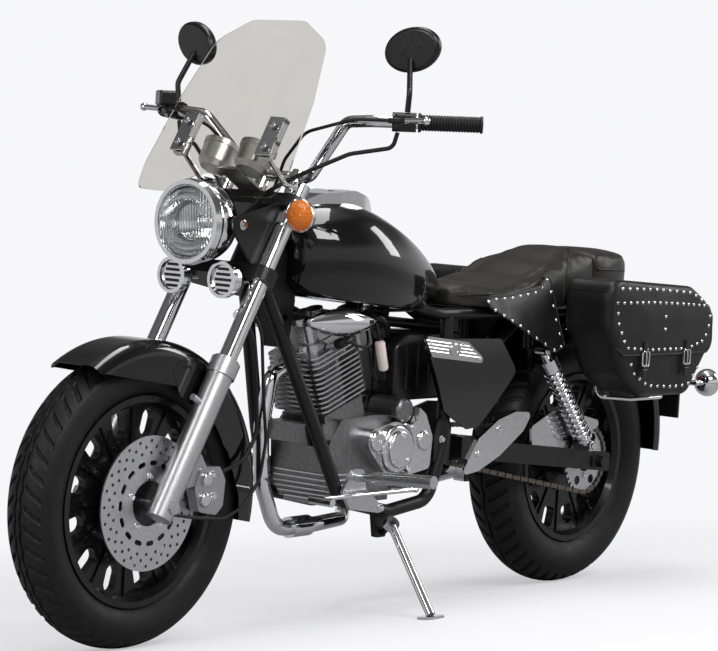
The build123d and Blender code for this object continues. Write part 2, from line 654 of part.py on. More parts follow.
def arch_fender(axle, radius, half, drop, start, sweep_deg):
    # An arched sheet round an axle, from a start angle before the top
    ring = FilletPolyline(
        (-half, radius - drop), (-half, radius), (half, radius), (half, radius - drop), radius=[30, 30]
    )
    outer = FilletPolyline(
        (-half - SHEET, radius - drop), (-half - SHEET, radius + SHEET), (half + SHEET, radius + SHEET),
        (half + SHEET, radius - drop), radius=[33, 33]
    )
    ends = [Line(ring @ 0, outer @ 0), Line(ring @ 1, outer @ 1)]
    face = Plane.YZ * make_face([ring, outer] + ends)
    return Pos(axle) * Rot(0, start, 0) * revolve(face, Axis.Y, revolution_arc=sweep_deg)


FENDER_EYE = Vector(0, 0, FENDER_Z)
NODES["rear_fender"] = arch_fender(FENDER_EYE, FENDER_R, FENDER_W, 46, -96, 150)
fender_room = Pos(FENDER_EYE) * rod((0, -200, 0), (0, 200, 0), FENDER_R + SHEET + FIT)
LIGHT_TURN = math.radians(50)
light_out = Vector(-math.sin(LIGHT_TURN), 0, math.cos(LIGHT_TURN))
light_plane = Plane(origin=FENDER_EYE + light_out * (FENDER_R - 12), x_dir=(0, 1, 0), z_dir=light_out)
light = extrude(RectangleRounded(112, 74, 24), 62)
light = fillet(light.faces().sort_by(Axis.Z)[-1].edges(), 18)
NODES["tail_light"] = light_plane * light - fender_room
HOLDER_FACE = -FENDER_R - 42
HOLDER_T = 8.0
HOLDER_X = HOLDER_FACE + 12
HOLDER_Y = 112.0
PLATE_Z = FENDER_Z + 111
SIGNAL_Z = PLATE_Z + 30
holder = block((HOLDER_FACE, HOLDER_FACE + HOLDER_T), (-95, 95), (PLATE_Z - 64, PLATE_Z + 64))
holder += block((HOLDER_FACE + 6, 50 - FENDER_R), (-40, 40), (PLATE_Z - 36, PLATE_Z + 24))
holder += rod((HOLDER_X, -HOLDER_Y, SIGNAL_Z), (HOLDER_X, HOLDER_Y, SIGNAL_Z), 7)
holder -= fender_room
PLATE_PCD = 140.0
PLATE_HOLE_R = 3.5
for side in (1, -1):
    hole = Vector(HOLDER_FACE, side * PLATE_PCD / 2, PLATE_Z)
    holder -= rod(hole - Vector(30, 0, 0), hole + Vector(30, 0, 0), PLATE_HOLE_R)
NODES["plate_holder"] = holder


def signal(at, toward, radius):
    # A bowl and its lens on an axis along X: toward is +1 to the front
    facing = (toward, 0, 0)
    bowl_edges = [
        Polyline((0, 8), (0, 0), (30, 0), (30, radius)),
        ThreePointArc((30, radius), (9, radius * 0.76), (0, 8)),
    ]
    bowl = revolve(make_face(bowl_edges), Axis.X)
    face_x = 30 + FIT
    lens_edges = [
        Polyline((face_x, radius - 2), (face_x, 0), (face_x + 20, 0)),
        ThreePointArc((face_x + 20, 0), (face_x + 12, radius * 0.7), (face_x, radius - 2)),
    ]
    lens = revolve(make_face(lens_edges), Axis.X)
    where = Plane(origin=at, x_dir=facing, z_dir=(0, 0, 1))
    return where * bowl, where * lens


SIGNAL_R = 35.0
STALK_R = 7.0
REAR_SIGNAL = Vector(HOLDER_FACE - 8, 150, SIGNAL_Z)
bowl, lens = signal(REAR_SIGNAL, -1, SIGNAL_R)
elbow = Vector(HOLDER_X, REAR_SIGNAL.Y, SIGNAL_Z)
bowl += rod((HOLDER_X, HOLDER_Y + FIT, SIGNAL_Z), elbow, STALK_R) + Pos(elbow) * Sphere(STALK_R)
bowl += rod(elbow, REAR_SIGNAL - Vector(14, 0, 0), STALK_R)
NODES["rear_signals"] = pair(bowl)
NODES["rear_signal_lenses"] = pair(lens)

# Side covers, crowned, with their trims
COVER_Y = 132.0
COVER_T = 12.0
COVER_CROWN = 700.0
SIDE = [(742, 622), (455, 616), (392, 540), (515, 416), (560, 412), (655, 458)]
cover = side_plate(SIDE, COVER_Y, COVER_Y + COVER_T, 18)
crown_y = COVER_Y + COVER_T - COVER_CROWN
cover &= rod((300, crown_y, 540), (800, crown_y, 540), COVER_CROWN)
for x, z in ((608, 560), (612, 470)):
    cover += rod((x, LOOP_Y + RAIL_R - 6, z), (x, COVER_Y + 2, z), 7)
loop_clear = pipe([(665, LOOP_Y, 258), (618, LOOP_Y, 380), (600, 92, 668)], [90], RAIL_R + FIT)
cover -= loop_clear
NODES["side_covers"] = pair(cover)
TRIM = [(752, 630), (590, 612), (506, 560), (720, 582)]
trim = side_plate(TRIM, COVER_Y, COVER_Y + COVER_T + 4, 8)
trim -= rod((300, crown_y, 540), (800, crown_y, 540), COVER_CROWN + FIT)
NODES["side_trims"] = pair(main_solid(trim))

# Saddlebags, hollow, with hinged lids
BAG = [(238, 762), (226, 640), (150, 530), (66, 482), (-130, 480), (-224, 600), (-220, 690), (-120, 742)]
BAG_ROUND = 38.0
TOP_SLOPE = (BAG[0][1] - BAG[-1][1]) / (BAG[0][0] - BAG[-1][0])
bag_face = outline(BAG, BAG_ROUND)
hollow = side_face(offset(bag_face, -WALL), BAG_IN + WALL, BAG_OUT - WALL)
# The lid turns on the top inner edge of the bag, and meets the bag on a plane below that edge
HINGE = Vector(0, BAG_IN, BAG[-1][1] - BAG[-1][0] * TOP_SLOPE)
HINGE_DIR = Vector(1, 0, TOP_SLOPE).normalized()
LID_OUT = BAG_OUT + FIT + FLAP_T
seat_up = HINGE_DIR.cross(Vector(0, 1, 0))
seat_plane = Plane(origin=HINGE - Vector(0, 0, LID_DEPTH), x_dir=HINGE_DIR, z_dir=seat_up)
bag = side_face(bag_face, BAG_IN, BAG_OUT) - hollow - seat_plane * Box(900, 900, 400, align=MIN_Z)
lid = side_face(bag_face, BAG_IN, LID_OUT) - hollow
lid &= seat_plane * Pos(0, 0, FIT) * Box(900, 900, 400, align=MIN_Z)
lid += side_face(bag_face, BAG_OUT + FIT, LID_OUT) & block((-400, 400), (0, 400), (FLAP_LOW, 900))
NODES["saddlebag_left"] = bag
NODES["saddlebag_right"] = right(bag)
NODES["bag_lid_left"] = lid
NODES["bag_lid_right"] = right(lid)
RAIL_ROD = 6.0
HANG_Y = 125.0
HANG_Z = 560.0
UNDER_Z = BAG[4][1] - 14
rails = pipe(
    [
        (40, HANG_Y, HANG_Z), (40, BAG_IN - 20, UNDER_Z), (0, BAG_IN + 50, UNDER_Z),
        (-150, BAG_IN + 50, UNDER_Z), (-150, BAG_IN - 20, UNDER_Z), (-150, HANG_Y, HANG_Z),
    ],
    [20, 20, 20, 20],
    RAIL_ROD - 1,
)
for x in (60, -110):
    rails += rod((x, RAIL_Y + SEAT_RAIL_R + FIT, REAR_RAIL_Z), (x, BAG_IN - FIT, REAR_RAIL_Z), 8)
    rails += rod((x, HANG_Y, REAR_RAIL_Z), (x, HANG_Y, HANG_Z - 15), RAIL_ROD)
rails += rod((60, HANG_Y, HANG_Z), (-150, HANG_Y, HANG_Z), RAIL_ROD)
NODES["bag_rails"] = pair(rails)

# Chain guard on the left arm, and a blade cover on each arm's front
GUARD = [(262, 340), (272, 402), (188, 436), (80, 424), (-40, 398), (64, 370), (110, 320)]
guard = side_plate(GUARD, ARM_IN + 8, ARM_IN + 14, 10)
guard -= NODES["swingarm"] + Pos(0, 0, FIT) * arm
BLADE = [(566, 306), (505, 388), (432, 428), (366, 444), (300, 440), (332, 398), (420, 345), (500, 314)]
blade = side_plate(BLADE, ARM_OUT + FIT, ARM_OUT + 6, 10)
NODES["chain_guards"] = group(main_solid(guard), pair(blade))

# Footpegs and foot controls
PEG_X = 930.0
PEG_Z = 325.0
PEG_IN = CRADLE_Y + RAIL_R + FIT
PEG_END = 330.0
PEG_PLATE = [(985, 298), (948, 346), (914, 342), (904, 300), (818, 238), (955, 258)]
peg = side_plate(PEG_PLATE, PEG_IN, PEG_IN + 8, 10)
peg += rod((PEG_X, PEG_IN + 4, PEG_Z), (PEG_X, PEG_IN + 70, PEG_Z + 5), 9)
peg += rod((PEG_X, PEG_IN + 50, PEG_Z + 4), (PEG_X, PEG_END, PEG_Z + 14), 14)
NODES["footpegs"] = pair(peg)
LEVER_Z = 290.0
LEVER_Y = 148.0
lever = rod((748, CASE_CUT + FIT, LEVER_Z), (748, LEVER_Y, LEVER_Z), 7)
lever += rod((748, LEVER_Y - 3, LEVER_Z), (1110, LEVER_Y + 2, LEVER_Z + 2), 5)
lever += rod((1110, LEVER_Y - 3, LEVER_Z + 2), (1110, 205, LEVER_Z + 2), 9)
pedal = rod((846, -PEG_IN - 8 - FIT, 250), (846, -LEVER_Y, 250), 7)
pedal += rod((846, -LEVER_Y, 250), (1090, -LEVER_Y, 300), 6)
pedal += Pos(1100, -LEVER_Y - 18, 304) * Rot(0, -10, 0) * Box(46, 60, 9)
NODES["foot_controls"] = group(lever, pedal)

# Fork sliders with their collars, reflector studs, axle and nuts
AXLE_END = FORK_Y + SLIDER_R
COLLAR_L = 38.0
COLLAR_R = SLIDER_R + 4
slider = rod(fork(-28, 0, FORK_Y), fork(SLIDER_TOP, 0, FORK_Y), SLIDER_R)
slider += rod(fork(SLIDER_TOP - COLLAR_L, 0, FORK_Y), fork(SLIDER_TOP - 4, 0, FORK_Y), COLLAR_R)
slider += rod(fork(222, 10, FORK_Y), fork(222, SLIDER_R + 22, FORK_Y), 7)
slider -= rod(fork(60, 0, FORK_Y), fork(SLIDER_TOP + 10, 0, FORK_Y), TUBE_R + FIT)
nut_face = Pos(FRONT_AXLE.X, FRONT_AXLE.Z) * RegularPolygon(15, 6)
slider += side_face(nut_face, AXLE_END - 8, AXLE_END + 4)
sliders = rod(FRONT_AXLE - Vector(0, AXLE_END - 8, 0), FRONT_AXLE + Vector(0, AXLE_END - 8, 0), AXLE_R)
sliders += slider
sliders += right(slider)
NODES["fork_sliders"] = sliders
NODES["fork_tubes"] = pair(rod(fork(60 + FIT, 0, FORK_Y), fork(TUBE_TOP, 0, FORK_Y), TUBE_R))

# Headlight place, between the yokes and ahead of them
LAMP = fork((LOW_YOKE + TOP_YOKE) / 2 - LAMP_DROP, LAMP_AHEAD)
LAMP_X = LAMP.X
LAMP_Z = LAMP.Z
LAMP_PIVOT = Vector(LAMP_X - 70, 0, LAMP_Z)
EAR_IN = 90.0
EAR_T = 6.0


def yoke(level, clamp, tongue):
    where = Plane(origin=fork(level - YOKE_T / 2), x_dir=AHEAD, z_dir=UP)
    circles = [
        Pos(0, FORK_Y) * Circle(clamp),
        Pos(0, -FORK_Y) * Circle(clamp),
        Pos(-FORK_OFFSET, 0) * Circle(tongue),
    ]
    edges = ShapeList([c.edge() for c in circles])
    return extrude(where * make_hull(edges), YOKE_T)


def in_side(point):
    return (point.X, point.Z)


yokes = yoke(LOW_YOKE, 29, 32) + yoke(TOP_YOKE, 29, 30)
yokes += rod(fork(LOW_YOKE, -FORK_OFFSET), fork(TOP_YOKE + 26, -FORK_OFFSET), STEM_R)
EAR = [
    in_side(fork(LOW_YOKE + 5, 4)),
    in_side(fork(LOW_YOKE + 5, 22)),
    in_side(LAMP_PIVOT + Vector(22, 0, -20)),
    in_side(LAMP_PIVOT + Vector(26, 0, 16)),
    in_side(fork(TOP_YOKE - 5, 24)),
    in_side(fork(TOP_YOKE - 5, 4)),
]
ear = side_plate(EAR, EAR_IN, EAR_IN + EAR_T, 3)
yokes += ear
yokes += right(ear)
for side in (1, -1):
    yokes -= rod(fork(LOW_YOKE - 60, 0, side * FORK_Y), fork(TOP_YOKE + 60, 0, side * FORK_Y), TUBE_R + FIT)
NODES["yokes"] = yokes

# Headlight: a bowl with its rim and reflector, and the lens in front
BACK = LAMP_X - LAMP_L
LENS_R = LAMP_R - 9
SEAT_X = LAMP_X - 8
shell = make_face(
    [
        Line((BACK, 0), (LAMP_X, 0)),
        Line((LAMP_X, 0), (LAMP_X, LAMP_R)),
        Line((LAMP_X, LAMP_R), (LAMP_X - 14, LAMP_R + 3)),
        Line((LAMP_X - 14, LAMP_R + 3), (LAMP_X - 26, LAMP_R - 3)),
        ThreePointArc((LAMP_X - 26, LAMP_R - 3), (BACK + 22, LAMP_R * 0.74), (BACK, LAMP_R * 0.25)),
        Line((BACK, LAMP_R * 0.25), (BACK, 0)),
    ]
)
bowl_cut = make_face(
    [
        Line((BACK + 26, 0), (SEAT_X + 1, 0)),
        Line((SEAT_X + 1, 0), (SEAT_X + 1, LENS_R - 5)),
        ThreePointArc((SEAT_X + 1, LENS_R - 5), (BACK + 48, LENS_R * 0.62), (BACK + 26, 10)),
        Line((BACK + 26, 10), (BACK + 26, 0)),
    ]
)
bucket = revolve(shell, Axis.X) - revolve(bowl_cut, Axis.X)
bucket -= Pos(SEAT_X, 0, 0) * Rot(0, 90, 0) * Cylinder(LENS_R + FIT, 30, align=MIN_Z)
bucket = Pos(0, 0, LAMP_Z) * bucket
for side in (1, -1):
    reach = Vector(0, side * (EAR_IN - FIT), 0)
    bucket += rod(LAMP_PIVOT + reach * 0.84, LAMP_PIVOT + reach, 14)
NODES["headlight"] = bucket
dome = make_face(
    [
        Line((SEAT_X + FIT, 0), (LAMP_X + 10, 0)),
        ThreePointArc((LAMP_X + 10, 0), (LAMP_X + 7.5, LENS_R * 0.5), (LAMP_X, LENS_R)),
        Line((LAMP_X, LENS_R), (SEAT_X + FIT, LENS_R)),
        Line((SEAT_X + FIT, LENS_R), (SEAT_X + FIT, 0)),
    ]
)
NODES["headlight_lens"] = Pos(0, 0, LAMP_Z) * revolve(dome, Axis.X)

# Horns on the lower yoke: a dished body, a rim and a slotted grille
HORN_Y = 70.0
HORN_R = 38.0
HORN_L = 42.0
HORN = fork(LOW_YOKE - 30, 36, HORN_Y)
horn_face = make_face(
    Polyline(
        (0, 0), (0, HORN_R - 14), (16, HORN_R - 4), (HORN_L - 14, HORN_R - 3), (HORN_L - 12, HORN_R),
        (HORN_L, HORN_R), (HORN_L, HORN_R - 7), (HORN_L - 6, HORN_R - 9), (HORN_L - 6, 0),
        close=True,
    )
)
horn = revolve(horn_face, Axis.X)
for step in range(-2, 3):
    horn -= Pos(HORN_L - 6, 0, step * 11) * Box(10, 46 - 7 * abs(step), 6)
horn = Pos(HORN) * horn
horn += rod(HORN + Vector(-40, 0, -2), HORN + Vector(5, 0, -2), 7)
NODES["horns"] = pair(main_solid(horn - yokes))

# Front signals, clamped round the fork tubes
CLAMP_T = 5.0
STALK_AT = fork(TOP_YOKE - 40, 0, FORK_Y)
FRONT_SIGNAL = STALK_AT + Vector(14, 73, 19)
bowl, lens = signal(FRONT_SIGNAL, 1, SIGNAL_R)
bowl += rod(STALK_AT, FRONT_SIGNAL + Vector(12, 0, 0), STALK_R)
bowl += rod(STALK_AT - UP * 12, STALK_AT + UP * 12, TUBE_R + CLAMP_T)
bowl -= rod(fork(LOW_YOKE, 0, FORK_Y), fork(TOP_YOKE, 0, FORK_Y), TUBE_R + FIT)
bowl -= Pos(0, EAR_IN + EAR_T / 2, 0) * Box(4000, EAR_T + 2, 4000)
NODES["front_signals"] = pair(max(bowl.solids(), key=lambda solid: solid.bounding_box().max.Y))
NODES["front_signal_lenses"] = pair(lens)

# Gauges ahead of the top yoke: two cans with bezels on one bracket
GAUGE_R = 40.0
GAUGE_H = 60.0
GAUGE_Y = 50.0
GAUGE_AHEAD = 104.0
gauge_plane = Plane(origin=fork(TOP_YOKE + YOKE_T / 2 + FIT), x_dir=AHEAD, z_dir=UP)
can_face = make_face(
    Polyline(
        (0, 0), (GAUGE_R - 12, 0), (GAUGE_R - 3, 12), (GAUGE_R - 2, GAUGE_H - 12), (GAUGE_R, GAUGE_H - 11),
        (GAUGE_R, GAUGE_H), (GAUGE_R - 5, GAUGE_H), (GAUGE_R - 6, GAUGE_H - 5), (0, GAUGE_H - 5),
        close=True,
    )
)
can = revolve(Plane.XZ * can_face, Axis.Z)
gauges = gauge_plane * Pos(50, 0, 3) * Box(130, 60, 6)
for side in (1, -1):
    gauges += gauge_plane * Pos(GAUGE_AHEAD, side * GAUGE_Y, 2) * can
gauges -= rod(fork(LOW_YOKE, -FORK_OFFSET), fork(TOP_YOKE + 60, -FORK_OFFSET), STEM_R + 6)
NODES["gauges"] = gauges

# Handlebar with risers
BAR_MID = fork(TOP_YOKE + BAR_RISE, -FORK_OFFSET)
BAR_BEND = BAR_MID + Vector(26, 262, 127)
BAR_END = BAR_BEND + Vector(-130, 178, 4)
BAR_HALF = [BAR_MID + Vector(0, 78, 0), BAR_MID + Vector(30, 196, 123), BAR_BEND, BAR_END]
bar_path = [Vector(p.X, -p.Y, p.Z) for p in reversed(BAR_HALF)] + BAR_HALF
bar = pipe(bar_path, [40, 40, 45, 45, 40, 40], BAR_R)
RISER_Y = 45.0
riser_foot = fork(TOP_YOKE + YOKE_T / 2 + FIT, -FORK_OFFSET)
riser_top = BAR_RISE - YOKE_T / 2
out = (BAR_END - BAR_BEND).normalized()


def on_bar(distance):
    # A point on the left grip's line, measured from the bend
    return BAR_BEND + out * distance


for side in (1, -1):
    foot = riser_foot + Vector(0, side * RISER_Y, 0)
    bar += rod(foot, foot + UP * (riser_top + 13), 15)
NODES["handlebar"] = bar

# Hand controls: a switch housing and a lever perch on each side, with the fluid box on the right
GRIP_FROM = 92.0
GRIP_TO = (BAR_END - BAR_BEND).length
HOUSING_R = 20.0
PERCH_R = 9.0
PERCH_AT = on_bar(62)
LEVER_ROOT = PERCH_AT + Vector(30, 18, 2)
CABLE_DIR = Vector(0.45, -0.89, 0).normalized()
BOSS_L = 26.0
housing_plane = Plane(origin=on_bar(64), x_dir=out, z_dir=(0, 0, 1))
housing = rod(on_bar(40), on_bar(GRIP_FROM - 3), HOUSING_R)
housing += housing_plane * Pos(2, -6, 0) * fillet(Box(44, 44, 34).edges(), 7)
housing += rod(PERCH_AT, LEVER_ROOT, PERCH_R)
housing += rod(LEVER_ROOT, LEVER_ROOT + CABLE_DIR * BOSS_L, 6)
fluid_box = housing_plane * Pos(-6, -30, 26) * fillet(Box(58, 40, 34).edges(), 6)
fluid_box += housing_plane * Pos(-6, -18, 8) * Box(30, 20, 30)
bore = rod(on_bar(0), on_bar(GRIP_FROM + 20), BAR_R + FIT)
NODES["hand_controls"] = group(housing - bore, right(housing + fluid_box - bore))
LEVER_TIP = BAR_BEND + Vector(-10, 130, 6)
lever = rod(LEVER_ROOT, LEVER_TIP, 6) + Pos(LEVER_TIP) * Sphere(9)
lever -= rod(PERCH_AT, LEVER_ROOT + (LEVER_ROOT - PERCH_AT).normalized() * 14, PERCH_R + FIT)
lever -= housing
NODES["hand_levers"] = pair(main_solid(lever))
grip = rod(on_bar(GRIP_FROM), on_bar(GRIP_TO + 6), GRIP_R)
grip -= rod(on_bar(GRIP_FROM - 20), on_bar(GRIP_TO + FIT), BAR_R + FIT)
NODES["grips"] = pair(grip)

# Mirrors on the switch housings
MIRROR = BAR_BEND + Vector(-72, 38, 151)
STEM_FIT = 0.8
stem_foot = on_bar(70) + Vector(0, 0, HOUSING_R + STEM_FIT)
mirror_path = [stem_foot, stem_foot + Vector(2, 4, 40), MIRROR + Vector(8, 0, -20)]
stem = pipe(mirror_path, 25, 6)
LOOK_BACK = Vector(-0.94, -0.2, 0.1)
head = fillet(extrude(Ellipse(64, 46), 11, both=True).edges(), 8)
NODES["mirrors"] = pair(stem + Plane(origin=MIRROR, x_dir=(0, 1, 0.25), z_dir=LOOK_BACK) * head)

# Windscreen: a bent sheet trimmed by its front view
SCREEN_X = LAMP_X - SCREEN_BACK
SCREEN_Z = LAMP_Z + SCREEN_RISE
rise = Vector(-SCREEN_SLOPE, 0, 1)


def screen_sheet(inner, outer):
    # A slab of the bent sheet between two depths behind and before its back face
    arc_in = SCREEN_BEND - SCREEN_T + inner
    arc_out = SCREEN_BEND - SCREEN_T + outer
    ring = Circle(arc_out) - Circle(arc_in)
    ring &= Pos(SCREEN_BEND, 0) * Rectangle(300, 620)
    low = Vector(SCREEN_X - SCREEN_BEND, 0, SCREEN_Z) - rise * 60
    return extrude(Plane(origin=low) * ring, amount=480 * rise.length, dir=rise.normalized())


# Half outline of the screen seen from the front: (y, height above the screen's reference)
SCREEN = [(70, 361), (152, 315), (183, 190), (199, 45), (190, -6), (118, -8)]
front = [(y, SCREEN_Z + h) for y, h in SCREEN + [(-y, h) for y, h in reversed(SCREEN)]]
view = make_face(Polyline(*front, close=True))
view = fillet(view.vertices().sort_by(Axis.Y)[4:], 55)
view = fillet(view.vertices().sort_by(Axis.Y)[:4], 22)
screen = screen_sheet(0, SCREEN_T) & extrude(Plane.YZ * view, 2000)
screen -= Pos(0, 0, LAMP_Z) * Rot(0, 90, 0) * Cylinder(LAMP_R + 14, 3000, align=MIN_Z)
NODES["windscreen"] = main_solid(screen)
# Brackets: a clamp behind the sheet on a strut from the fork's top, and a bolted plate before it
CLAMP_Y = 118.0
CLAMP_Z = SCREEN_Z + 114
SCREEN_LEAN = -math.degrees(math.atan(SCREEN_SLOPE))
clamp_x = SCREEN_X - SCREEN_SLOPE * (CLAMP_Z - SCREEN_Z)
clamp_at = Pos(clamp_x - 8, CLAMP_Y, CLAMP_Z) * Rot(0, SCREEN_LEAN, 0)
clamp = clamp_at * Box(30, 30, 96)
cap = rod(fork(TUBE_TOP + FIT, 0, FORK_Y), fork(TUBE_TOP + 20, 0, FORK_Y), TUBE_R)
strut_foot = fork(TUBE_TOP + 12, 0, FORK_Y)
STRUT_DROP = 34.0
strut_end = Vector(clamp_x + SCREEN_SLOPE * STRUT_DROP - 16, CLAMP_Y, CLAMP_Z - STRUT_DROP)
strut = pipe([strut_foot, strut_foot + Vector(64, 12, 10), strut_end], 20, 6)
bracket = clamp + strut + cap - screen_sheet(-FIT, 120)
bracket -= rod(fork(TUBE_TOP - 60, 0, FORK_Y), fork(TUBE_TOP + FIT, 0, FORK_Y), TUBE_R + FIT)
plate = clamp_at * Box(40, 38, 90) & screen_sheet(SCREEN_T + FIT, SCREEN_T + 6)
NODES["screen_brackets"] = group(pair(main_solid(bracket)), pair(main_solid(plate)))

# Front fender: an arch with deep sides, trimmed to its lower edge, and stays to the fork
FRONT_FENDER_R = FRONT_TYRE_R + FRONT_FENDER_GAP
FRONT_FENDER_W = FRONT_TYRE_W / 2 + 14
front_fender = arch_fender(FRONT_AXLE, FRONT_FENDER_R, FRONT_FENDER_W, 92, -101, 132)
SIDE_EDGE = [
    (230, 262), (150, 266), (-64, 234), (-82, 172), (-150, 150), (-220, 96), (-262, 0), (-270, -120),
    (230, -120),
]


def at_axle(points):
    # Points of a side view, measured from the front axle
    return [(FRONT_AXLE.X + x, FRONT_AXLE.Z + z) for x, z in points]


front_fender -= side_plate(at_axle(SIDE_EDGE), -200, 200, [4, 30, 16, 16, 30, 40, 40, 4, 4])
stay_in = FRONT_FENDER_W + SHEET / 3
stay_out = FORK_Y - COLLAR_R - FIT
STAY = [(-166, 256), (-76, 290), (-40, 270), (-66, 215), (-122, 184)]
stays = side_plate(at_axle(STAY), stay_in, stay_out, 10)
front_fender += stays
front_fender += right(stays)
NODES["front_fender"] = front_fender

# Brake caliper over the disc's rear edge, on its carrier behind the left slider
CALIPER = [(-190, -14), (-170, -32), (-118, -22), (-102, 26), (-120, 70), (-176, 68), (-194, 40)]
caliper = side_plate(at_axle(CALIPER), DISC_Y - 18, DISC_Y + 34, 12)
caliper -= Pos(FRONT_AXLE) * rod((0, DISC_Y - 4, 0), (0, DISC_Y + DISC_T + 5, 0), DISC_R + 6)
caliper -= Pos(FRONT_AXLE) * rod((0, 0, 0), (0, DISC_Y - 4, 0), DISC_R + 13)
slider_room = rod(fork(-40, 0, FORK_Y), fork(400, 0, FORK_Y), SLIDER_R + FIT)
caliper -= slider_room
CARRIER = [(-160, 38), (-80, 28), (-30, 78), (-120, 98)]
carrier = side_plate(at_axle(CARRIER), DISC_Y + DISC_T + 6, DISC_Y + 30, 8)
carrier -= slider_room
caliper += max(carrier.solids(), key=lambda solid: solid.bounding_box().size.X)
NODES["brake_caliper"] = main_solid(caliper)

# Brake hose and cables, carried by the steering
HOSE_R = 4.5
CABLE_R = 3.5
hose_foot = Vector(FRONT_AXLE.X + CALIPER[-1][0] - FIT, DISC_Y + 22, FRONT_AXLE.Z + 54)
UNDER_YOKE = LOW_YOKE - YOKE_T / 2 - FIT
hose = pipe(
    [
        fork(UNDER_YOKE, -12, 62), fork(UNDER_YOKE - 40, -12, 62), (1240, 80, 616),
        (1232, 86, 500), (1226, 86, 430), (1262, 86, 378), hose_foot,
    ],
    [60, 160, 200, 60, 50],
    HOSE_R,
)
NODES["brake_hose"] = hose
speed_cable = pipe(
    [
        fork(UNDER_YOKE, -12, 80), fork(UNDER_YOKE - 36, -12, 80), (1240, 97, 648),
        (1226, 100, 502), (1214, 102, 418), (1228, 102, 335), (1277, 102, 282), (1340, 103, 262),
        (1430, 104, 272), (1499, 105, 284),
    ],
    [50, 120, 160, 90, 60, 60, 90, 120],
    CABLE_R,
)
speed_cable -= rod(fork(-60, 0, FORK_Y), fork(400, 0, FORK_Y), SLIDER_R + FIT)
boss_end = LEVER_ROOT + CABLE_DIR * (BOSS_L + FIT)
clutch_cable = pipe(
    [
        boss_end, boss_end + CABLE_DIR * 70 + Vector(0, 0, -1), (1176, 132, 1060), (1160, 66, 1000),
        fork(TOP_YOKE + YOKE_T / 2 + 36, 12, 46), fork(TOP_YOKE + YOKE_T / 2 + FIT, 12, 46),
    ],
    [90, 60, 40, 40],
    CABLE_R,
)
WIRE_FIT = 1.4
wire_start = on_bar(52) + Vector(0, 0, -HOUSING_R - WIRE_FIT)
wiring = pipe(
    [
        wire_start, wire_start + Vector(3, -8, -32), (1130, 215, 1020), (1165, 150, 985), (1188, 95, 955),
        (1208, 62, 930), (1234, 26, 880), (BACK - FIT - 20, 16, LAMP_Z), (BACK - FIT, 16, LAMP_Z),
    ],
    [20, 60, 50, 30, 30, 20, 12],
    HOSE_R,
)
NODES["control_cables"] = group(speed_cable, pair(clutch_cable), pair(wiring))

# Side stand, down, with its foot flat on the ground of the leaning bike
GROUND = Vector(0, -math.sin(LEAN), math.cos(LEAN))
CROWN = 80.0
GROUND_DROP = CROWN * (math.cos(LEAN) - 1)
PIN_R = 6.0
KNUCKLE_R = 16.0
KNUCKLE_HALF = 9.0


def ground_z(y):
    return (GROUND_DROP - GROUND.Y * y) / GROUND.Z


STAND_PIVOT = Vector(815, CRADLE_Y + 28, 216)
STAND_FOOT = Vector(850, 282, ground_z(282))
foot_plane = Plane(origin=STAND_FOOT, x_dir=(1, 0, 0), z_dir=GROUND)
stand = rod(STAND_PIVOT, STAND_FOOT + GROUND * 8, 10)
stand += foot_plane * extrude(RectangleRounded(62, 40, 14), 6)
folded = Vector(-0.97, 0.17, 0.06)
leg = (STAND_FOOT - STAND_PIVOT).normalized()
STAND_AXIS = leg.cross(folded).normalized()
stand += rod(STAND_PIVOT - STAND_AXIS * KNUCKLE_HALF, STAND_PIVOT + STAND_AXIS * KNUCKLE_HALF, KNUCKLE_R)
stand -= rod(STAND_PIVOT - STAND_AXIS * 30, STAND_PIVOT + STAND_AXIS * 30, PIN_R + RUN_FIT)
NODES["side_stand"] = stand
PIN_IN = 38.0
PIN_OUT = KNUCKLE_HALF + 4
pin_foot = STAND_PIVOT - STAND_AXIS * PIN_IN
frame += rod(pin_foot, STAND_PIVOT + STAND_AXIS * PIN_OUT, PIN_R)
frame += side_plate(
    [(788, CRADLE_Z), (842, CRADLE_Z + 4), (830, pin_foot.Z - 8), (796, pin_foot.Z - 8)],
    CRADLE_Y - 14, CRADLE_Y - 1, 6
)
NODES["frame"] = frame

# Lean the bike on its stand, with the origin under the middle of its box
leaning = {name: Rot(-LEAN_DEG, 0, 0) * part for name, part in NODES.items()}
boxes = [part.bounding_box() for part in leaning.values()]
middle_x = (min(b.min.X for b in boxes) + max(b.max.X for b in boxes)) / 2
middle_y = (min(b.min.Y for b in boxes) + max(b.max.Y for b in boxes)) / 2
SHIFT = Vector(-middle_x, -middle_y, -min(b.min.Z for b in boxes))
for name, part in leaning.items():
    export_step(Pos(SHIFT) * part, f"parts/{name}.step")
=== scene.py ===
import json
import math

import bmesh
import bpy
from mathutils import Matrix, Vector, noise as chance
from mathutils.bvhtree import BVHTree


